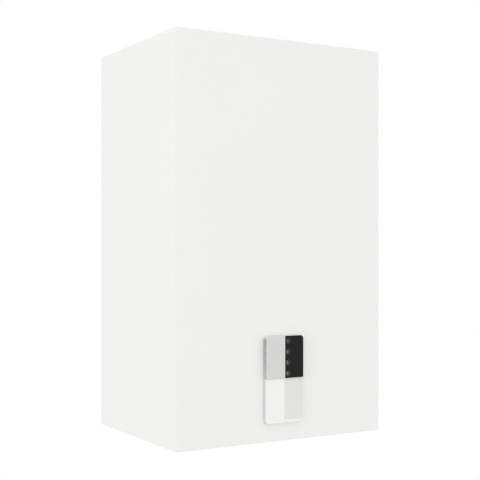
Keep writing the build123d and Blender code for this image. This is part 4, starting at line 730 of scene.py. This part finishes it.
box_plastic = Finish("box_plastic", IOR=1.5)
box_grain = box_plastic.noise(1500.0, 3.0)
box_cloud = box_plastic.noise(14.0, 3.0)
box_plastic.paint(
    Base_Color=box_plastic.mix(box_cloud, tone(206, 208, 207), tone(216, 218, 216)),
    Roughness=0.46 + 0.14 * box_grain,
)
box_plastic.relief(box_grain, 0.00006)
dress(box_plastic, "control_box_tray", "control_box_lid")

# ---------------------------------------------------------------- circuit board
# Green lacquered laminate with copper tracks under the lacquer, held on the tray's posts;
# what stands on it is dark.

board_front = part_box("control_box_lid")[1].y + 0.004
board_thickness = 0.0016
laminate = Finish("laminate", Coat_Weight=0.4, Coat_Roughness=0.1)
upright_place = laminate.node(
    "Mapping", None, {"Vector": laminate.place, "Rotation": (math.pi / 2, 0.0, 0.0)}
)
tracks = laminate.node(
    "TexBrick",
    {"offset": 0.37},
    {
        "Vector": upright_place,
        "Scale": 60.0,
        "Mortar Size": 0.045,
        "Brick Width": 0.7,
        "Row Height": 0.16,
    },
    "Fac",
)
board_depth = laminate.axis("Y") - board_front
on_board = (board_depth > -0.0001) * (board_depth < board_thickness + 0.0001)
lacquer = laminate.mix(tracks, tone(22, 92, 54), tone(54, 132, 82))
laminate.paint(
    Base_Color=laminate.mix(on_board, tone(38, 39, 42), lacquer),
    Roughness=0.48 - 0.2 * on_board + 0.1 * laminate.noise(400.0),
)
laminate.relief(tracks * on_board, 0.00004)
dress(laminate, "circuit_board")

# ---------------------------------------------------------------- fascia's upper block
# Grey moulding with the display lens and the gloss key strip clipped on its face. Its sides carry
# painted shade, darker towards the top, and its roof is painted near white as painted light from above.
# A soft pale lip moulded round the whole fascia closes the gap to the casing.

bezel_low, bezel_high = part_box("upper_bezel")
bezel_grey = Finish("bezel_grey", IOR=1.5)
bezel_cloud = bezel_grey.noise(60.0, 3.0)
# Painted shade: the sides darken from the bottom towards the top.
bezel_shade_rise = (bezel_grey.axis("Z") - bezel_low.z) * (1 / (bezel_high.z - bezel_low.z))
# Painted light: faces that look up are painted near white.
bezel_roof_painted_light = bezel_grey.math("MAXIMUM", bezel_grey.facing("Z"), 0.0)
bezel_side_painted_shade = bezel_grey.mix(bezel_shade_rise + 0.2 * bezel_cloud, tone(190, 191, 191), tone(164, 165, 165))
bezel_grey.paint(
    Base_Color=bezel_grey.mix(bezel_roof_painted_light, bezel_side_painted_shade, tone(238, 238, 237)),
    Roughness=0.36 + 0.10 * bezel_cloud,
)
bezel_grey.relief(bezel_grey.noise(1500.0), 0.00003)
dress(bezel_grey, "upper_bezel")

display_grey = Finish("display_grey", Coat_Weight=0.4, Coat_Roughness=0.10)
display_cloud = display_grey.noise(40.0, 2.0)
display_grey.paint(
    Base_Color=display_grey.mix(display_cloud, tone(214, 214, 213), tone(218, 218, 217)),
    Roughness=0.24 + 0.06 * display_cloud,
)
dress(display_grey, "display_lens")

black_gloss = Finish("black_gloss", IOR=1.28)
gloss_cloud = black_gloss.noise(50.0, 2.0)
black_gloss.paint(
    Base_Color=black_gloss.mix(gloss_cloud, tone(12, 14, 13), tone(16, 18, 17)),
    Roughness=0.14 + 0.05 * gloss_cloud,
)
dress(black_gloss, "keypad_plate")


def round_outline(low, high, corner, out, columns=64):
    """Upright rounded rectangle between two (x, z) corners, moved out by a distance: centre of each
    corner + (corner + out) * (cos t, sin t), a quarter of a turn apiece."""
    middle = (np.array(low) + high) / 2
    arm = (np.array(high) - low) / 2 - corner
    points = []
    for quarter in range(4):
        t = np.linspace(quarter, quarter + 1, columns // 4) * np.pi / 2
        ray = np.column_stack([np.cos(t), np.sin(t)])
        points.append(middle + np.sign(ray.mean(0)) * arm + (corner + out) * ray)
    return np.vstack(points)


def upright(outline, y):
    """The points of an (x, z) outline at a depth."""
    return np.column_stack([outline[:, 0], np.full(len(outline), y), outline[:, 1]])


cover_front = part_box("front_cover")[0].y
lower_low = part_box("lower_cover")[0]
fascia_low = (lower_low.x, lower_low.z)
fascia_high = (bezel_high.x, bezel_high.z)
fascia_corner = 0.006
lip_front = cover_front + 0.0001
lip_rear = cover_front + 0.0007
lip_inner = 0.00005  # out from the fascia's side
lip_outer = 0.0005
soft_lip = Finish("soft_lip")
lip_bloom = soft_lip.noise(300.0, 2.0)
soft_lip.paint(
    Base_Color=soft_lip.mix(lip_bloom, tone(226, 226, 224), tone(236, 236, 234)),
    Roughness=0.6 + 0.1 * lip_bloom,
)
lip_section = (
    (lip_inner, lip_rear),
    (lip_outer, lip_rear),
    (lip_outer, lip_front),
    (lip_inner, lip_front),
)
lip_rings = []
for out, y in lip_section:
    lip_rings.append(upright(round_outline(fascia_low, fascia_high, fascia_corner, out), y))
skin("fascia_lip", [np.stack(lip_rings)], soft_lip)

# ---------------------------------------------------------------- keys
# Four round satin black keys. Each has a dim printed sign - a ring with a bar, three upright bars, a
# cross, a ring with a dot - inside
# a painted highlight: a pale arc on the lower left of the cap's rim, painted fainter on the upper keys.

stroke = 0.00025  # half the width of a printed line
ring_inner = 0.0015
ring_outer = 0.0020
glint_inner = 0.0031
glint_outer = 0.0043
print_depth = 0.0011  # how far back from a key's face the print reaches
for number, glint_strength in enumerate((0.45, 0.8, 0.9, 1.0), 1):
    key_low, key_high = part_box(f"key_{number}")
    cap = Finish(f"key_{number}_black", IOR=1.35)
    cap_grain = cap.noise(1600.0, 3.0)
    u = cap.axis("X") - (key_low.x + key_high.x) / 2
    w = cap.axis("Z") - (key_low.z + key_high.z) / 2
    reach = cap.distance(u, w)
    size_u = cap.math("ABSOLUTE", u)
    size_w = cap.math("ABSOLUTE", w)
    ring = (reach > ring_inner) * (reach < ring_outer)
    if number == 1:
        opening = (w > 0.0009) * (size_u < 0.0006)
        sign = ring * (1 - opening) + (size_u < stroke) * (w > 0.0006) * (w < 0.0023)
    elif number == 2:
        third = cap.math("PINGPONG", size_u, 0.0007)
        sign = (third < 0.00022) * (size_u < 0.0016) * (size_w < 0.0015)
    elif number == 3:
        sign = (size_u < stroke) * (size_w < 0.0017) + (size_w < stroke) * (size_u < 0.0017)
    else:
        sign = ring + (reach < 0.0005)
    front = cap.axis("Y") < key_low.y + print_depth
    # Painted highlight: a pale arc on the lower left of each cap stands in for a glint off its rim.
    towards = u * -0.97 + w * -0.25
    painted_glint = (reach > glint_inner) * (reach < glint_outer)
    painted_glint = painted_glint * cap.math("MINIMUM", towards * 400.0 - 0.25, 1.0)
    painted_glint = cap.math("MAXIMUM", painted_glint, 0.0) * front
    face = cap.mix(cap_grain, tone(24, 25, 25), tone(36, 37, 37))
    face = cap.mix(cap.math("MINIMUM", sign * front, 1.0), face, tone(104, 106, 106))
    cap.paint(
        Base_Color=cap.mix(painted_glint * glint_strength, face, tone(158, 160, 160)),
        Roughness=0.30 + 0.14 * cap_grain,
    )
    cap.relief(cap_grain, 0.00004)
    dress(cap, f"key_{number}")

# ---------------------------------------------------------------- fascia's lower cover
# Moulding, white on its face and light grey just behind the face's edge. A pale grey strip is let in on
# the right, and the face takes the strip's colour from there to the edge.

inlay_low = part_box("lower_inlay")[0]
inlay_tones = (tone(229, 230, 226), tone(232, 233, 229))
face_edge_start = lower_low.y + 0.0004  # the white starts to turn light grey here, just behind the face's edge
face_edge_end = lower_low.y + 0.0010
lower_white = Finish("lower_white", IOR=1.5, Coat_Weight=0.2, Coat_Roughness=0.12)
white_cloud = lower_white.noise(20.0, 2.0)
behind_face_edge = lower_white.rise(lower_white.axis("Y"), face_edge_start, face_edge_end)
grey_side = (lower_white.axis("X") > inlay_low.x) * (lower_white.axis("Z") > inlay_low.z)
white_face = lower_white.mix(white_cloud, tone(245, 246, 245), tone(248, 248, 247))
face_colour = lower_white.mix(grey_side, white_face, lower_white.mix(white_cloud, *inlay_tones))
lower_white.paint(
    Base_Color=lower_white.mix(behind_face_edge, face_colour, tone(218, 219, 218)),
    Roughness=0.26 + 0.08 * white_cloud,
)
lower_white.relief(lower_white.noise(900.0), 0.00002)
dress(lower_white, "lower_cover")

inlay_grey = Finish("inlay_grey", IOR=1.5, Coat_Weight=0.2, Coat_Roughness=0.12)
inlay_cloud = inlay_grey.noise(20.0, 2.0)
inlay_grey.paint(
    Base_Color=inlay_grey.mix(inlay_cloud, *inlay_tones),
    Roughness=0.28 + 0.08 * inlay_cloud,
)
inlay_grey.relief(inlay_grey.noise(900.0), 0.00002)
dress(inlay_grey, "lower_inlay")

# ---------------------------------------------------------------- sound mat
# Soft grey foam sheet glued inside the cover's front, above the control box. Its free face is pressed in
# rows of round dimples, painted darker towards their bottoms as painted shade.

mat_low = (-0.180, 0.225)
mat_high = (0.180, 0.660)
mat_corner = 0.012
mat_glued = cover_front + 0.0012
mat_free = cover_front + 0.0055
dimple_depth = 0.0028
dimple_pitch = 0.024
mat_foam = Finish("mat_foam", Roughness=0.95)
mat_cells = mat_foam.noise(1100.0, 3.0)
# Painted shade: the deeper into a dimple, the darker the foam is painted.
pressed = (mat_foam.axis("Y") - mat_free) * (-1 / dimple_depth)
mat_foam.paint(
    Base_Color=mat_foam.mix(0.3 + 0.5 * mat_cells - 0.3 * pressed, tone(66, 68, 70), tone(128, 130, 133))
)
mat_foam.relief(mat_cells, 0.0004)


def dimpled(low, high, corner, glued, free, depth, pitch, columns=91, rows=101):
    """Grid of a sheet with rounded corners between two (x, z) corners. Each row runs across the free
    face and back over the glued one; half its width is arm + sqrt(corner^2 - (height past the arm)^2),
    and the free face is sunk by depth * sin^2 of x and of z over the pitch."""
    middle = (np.array(low) + high) / 2
    arm = (np.array(high) - low) / 2 - corner
    turn = np.linspace(np.pi / 2, 0.0, 6)[:, None]
    rounded = arm[1] + corner * np.sin(turn)
    z = np.vstack([-rounded, np.linspace(-arm[1], arm[1], rows)[1:-1, None], rounded[::-1]])
    past = np.maximum(np.abs(z) - arm[1], 0.0)
    half = arm[0] + np.sqrt(np.maximum(corner**2 - past**2, 0.0))
    x = half * np.linspace(-1.0, 1.0, columns)
    inside = (np.abs(np.linspace(-1.0, 1.0, columns)) < 1.0) * (np.abs(z) < arm[1] + corner)
    y = free - depth * inside * (np.sin(np.pi * x / pitch) * np.sin(np.pi * z / pitch)) ** 2
    x = np.hstack([x, half, -half])
    y = np.hstack([y, np.full((len(z), 2), glued)])
    sheet = np.stack([middle[0] + x, y, middle[1] + z + 0 * x], -1)
    hubs = np.broadcast_to(sheet.mean(1, keepdims=True), sheet.shape)
    return np.concatenate([hubs[:1], sheet, hubs[-1:]])


mat_grid = dimpled(mat_low, mat_high, mat_corner, mat_glued, mat_free, dimple_depth, dimple_pitch)
skin("sound_mat", [mat_grid], mat_foam, "cover")

# ---------------------------------------------------------------- small screws
# Zinc-plated pan-head screws with a hexalobular drive on the control box lid, the fan scroll,
# the gas valve's front cover and the pump's motor flange, all driven in from the front.


def screw_rows(radius, columns):
    """Profile of a pan head from its drive's floor outwards; the rim is a quarter of a rounded curve."""
    t = np.linspace(0.0, 2 * np.pi, columns, endpoint=False)
    drive = radius * (0.42 + 0.07 * np.cos(6 * t))
    rise = radius * 0.62
    rows = [(0.0, rise * 0.25), (drive, rise * 0.3), (drive, rise * 0.97)]
    for a in np.linspace(0.15, math.pi / 2, 4):
        rows.append((radius * (0.62 + 0.38 * math.sin(a)), rise * (0.35 + 0.65 * math.cos(a))))
    return rows + [(radius, -0.0003), (0.0, -0.0003)]


def screw_circle(centre, radius, first):
    """Places of four screws evenly round a point: radius * (cos t, sin t) from the first angle."""
    x, y, z = centre
    angles = np.radians(first + 90 * np.arange(4))
    return [(x + radius * math.cos(t), y, z + radius * math.sin(t)) for t in angles]


screw_radius = 0.0023
screw_columns = 24
lid_low, lid_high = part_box("control_box_lid")
lid_inset = 0.010
valve_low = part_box("gas_valve")[0]
valve_cover = valve_low.y + 0.005
pump_flange = (0.130, -0.158, 0.175)
scroll_face = (-0.1248, -0.270, 0.444)
screw_places = [
    (x, lid_low.y, z)
    for x in (lid_low.x + lid_inset, lid_high.x - lid_inset)
    for z in (lid_low.z + lid_inset, lid_high.z - lid_inset)
]
screw_places += [
    (valve_low.x + x, valve_cover, valve_low.z + z) for x in (0.007, 0.065) for z in (0.008, 0.048)
]
screw_places += screw_circle(pump_flange, 0.0461, 45)
screw_places += screw_circle(scroll_face, 0.050, 10)
screw_profile = screw_rows(screw_radius, screw_columns)
screw_grids = [turned(screw_profile, place, (0, -1, 0), screw_columns) for place in screw_places]
skin("small_screws", screw_grids, bright_zinc)

# ---------------------------------------------------------------- hose clips and temperature sensors
# Spring-steel bands hold the condensate hose at both ends. Two clip-on sensors read the flow pipe
# and the return pipe: a sprung steel saddle with a black plug body.


def band_rows(inner, outer, half_height):
    """Profile of a plain band: the four corners of its section."""
    return [(inner, -half_height), (outer, -half_height), (outer, half_height), (inner, half_height)]


band_spots = ((0.0, -0.120, 0.362), (-0.150, -0.215, 0.195))
band_grids = [turned(band_rows(0.0091, 0.0098, 0.004), spot, (0, 0, 1), 32) for spot in band_spots]
skin("hose_bands", band_grids, bright_zinc)

sensor_spots = ((-0.032, -0.142, 0.334), (0.130, -0.138, 0.300))
saddle_grids = [turned(band_rows(0.0091, 0.0099, 0.006), spot, (0, 0, 1), 32) for spot in sensor_spots]
skin("sensor_saddles", saddle_grids, bright_zinc)

plug_seat = 0.0095  # from the pipe's centre
plug_rows = [
    (0.0, 0.0),
    (0.0044, 0.0),
    (0.0048, 0.0006),
    (0.0048, 0.009),
    (0.0036, 0.010),
    (0.0036, 0.016),
    (0.0028, 0.016),
    (0.0028, 0.012),
    (0.0, 0.012),
]
plug_grids = [turned(plug_rows, (x, y - plug_seat, z), (0, -1, 0), 24) for x, y, z in sensor_spots]
skin("sensor_plugs", plug_grids, black_moulding)

# ---------------------------------------------------------------- floor, light and camera
# The boiler hangs high over a plain pale floor that fades to white, under wide soft lamps;
# the camera stands level with its middle, to the left.


def background(finish):
    """1 for rays that should see plain white: from the camera, off gloss and through glass."""
    camera_ray = finish.node("LightPath", output="Is Camera Ray")
    glossy_ray = finish.node("LightPath", output="Is Glossy Ray")
    glass_ray = finish.node("LightPath", output="Is Transmission Ray")
    return finish.math("MAXIMUM", camera_ray, finish.math("MAXIMUM", glossy_ray, glass_ray))


class Room(Finish):
    """The world's nodes, fed the same way as a finish."""

    def __init__(self, name):
        self.world = bpy.data.worlds.new(name)
        self.world.use_nodes = True
        self.tree = self.world.node_tree


floor_level = -1.65
floor_half = 14.0
fade_start = 0.8
fade_end = 3.5
white = (1.0, 1.0, 1.0)
floor_mesh = bpy.data.meshes.new("floor")
floor_signs = ((-1, -1), (1, -1), (1, 1), (-1, 1))
floor_corners = [(sx * floor_half, sy * floor_half, floor_level) for sx, sy in floor_signs]
floor_mesh.from_pydata(floor_corners, [], [(0, 1, 2, 3)])
floor = bpy.data.objects.new("floor", floor_mesh)
bpy.context.scene.collection.objects.link(floor)
floor_paint = Finish("floor_paint", Base_Color=tone(236, 236, 236), Roughness=0.9)
floor_reach = floor_paint.distance(floor_paint.axis("X"), floor_paint.axis("Y"))
fade = floor_paint.rise(floor_reach, fade_start, fade_end)
glow_share = background(floor_paint) * (0.55 + 0.45 * fade)
painted = Signal(floor_paint, floor_paint.shader.outputs[0])
glow = floor_paint.node("Emission", None, {"Color": white, "Strength": 1.0})
floor_look = floor_paint.node("MixShader", None, {0: glow_share, 1: painted, 2: glow})
floor_paint.feed(floor_paint.tree.nodes["Material Output"], {"Surface": floor_look})
floor_mesh.materials.append(floor_paint.material)

studio = Room("studio")
soft_light = studio.node("Background", None, {"Color": white, "Strength": 0.84})
plain_white = studio.node("Background", None, {"Color": white, "Strength": 1.0})
around = studio.node("MixShader", None, {0: background(studio), 1: soft_light, 2: plain_white})
studio.feed(studio.tree.nodes["World Output"], {"Surface": around})
bpy.context.scene.world = studio.world

boiler_middle = Vector((0.0, -0.16, 0.35))
for lamp_name, where, width, power in (
    ("lamp_left", (-3.8, -1.4, 0.6), 3.6, 30.0),
    ("lamp_front", (0.4, -3.6, 0.3), 2.8, 10.0),
    ("lamp_above", (0.2, -0.4, 3.0), 2.4, 6.0),
):
    lamp_data = bpy.data.lights.new(lamp_name, "AREA")
    lamp_data.size = width
    lamp_data.energy = power
    lamp = bpy.data.objects.new(lamp_name, lamp_data)
    lamp.location = where
    lamp.rotation_euler = (boiler_middle - Vector(where)).to_track_quat("-Z", "Y").to_euler()
    bpy.context.scene.collection.objects.link(lamp)

view_direction = Vector((0.5060, 0.8625, 0.0))
camera_data = bpy.data.cameras.new("camera")
camera_data.lens = 75.76
camera_data.sensor_width = 36.0
camera_data.shift_y = 0.0208
camera = bpy.data.objects.new("camera", camera_data)
camera.location = (-0.9580, -1.8026, 0.3326)
camera.rotation_euler = view_direction.to_track_quat("-Z", "Y").to_euler()
bpy.context.scene.collection.objects.link(camera)
bpy.context.scene.camera = camera
bpy.context.scene.view_settings.view_transform = "Standard"
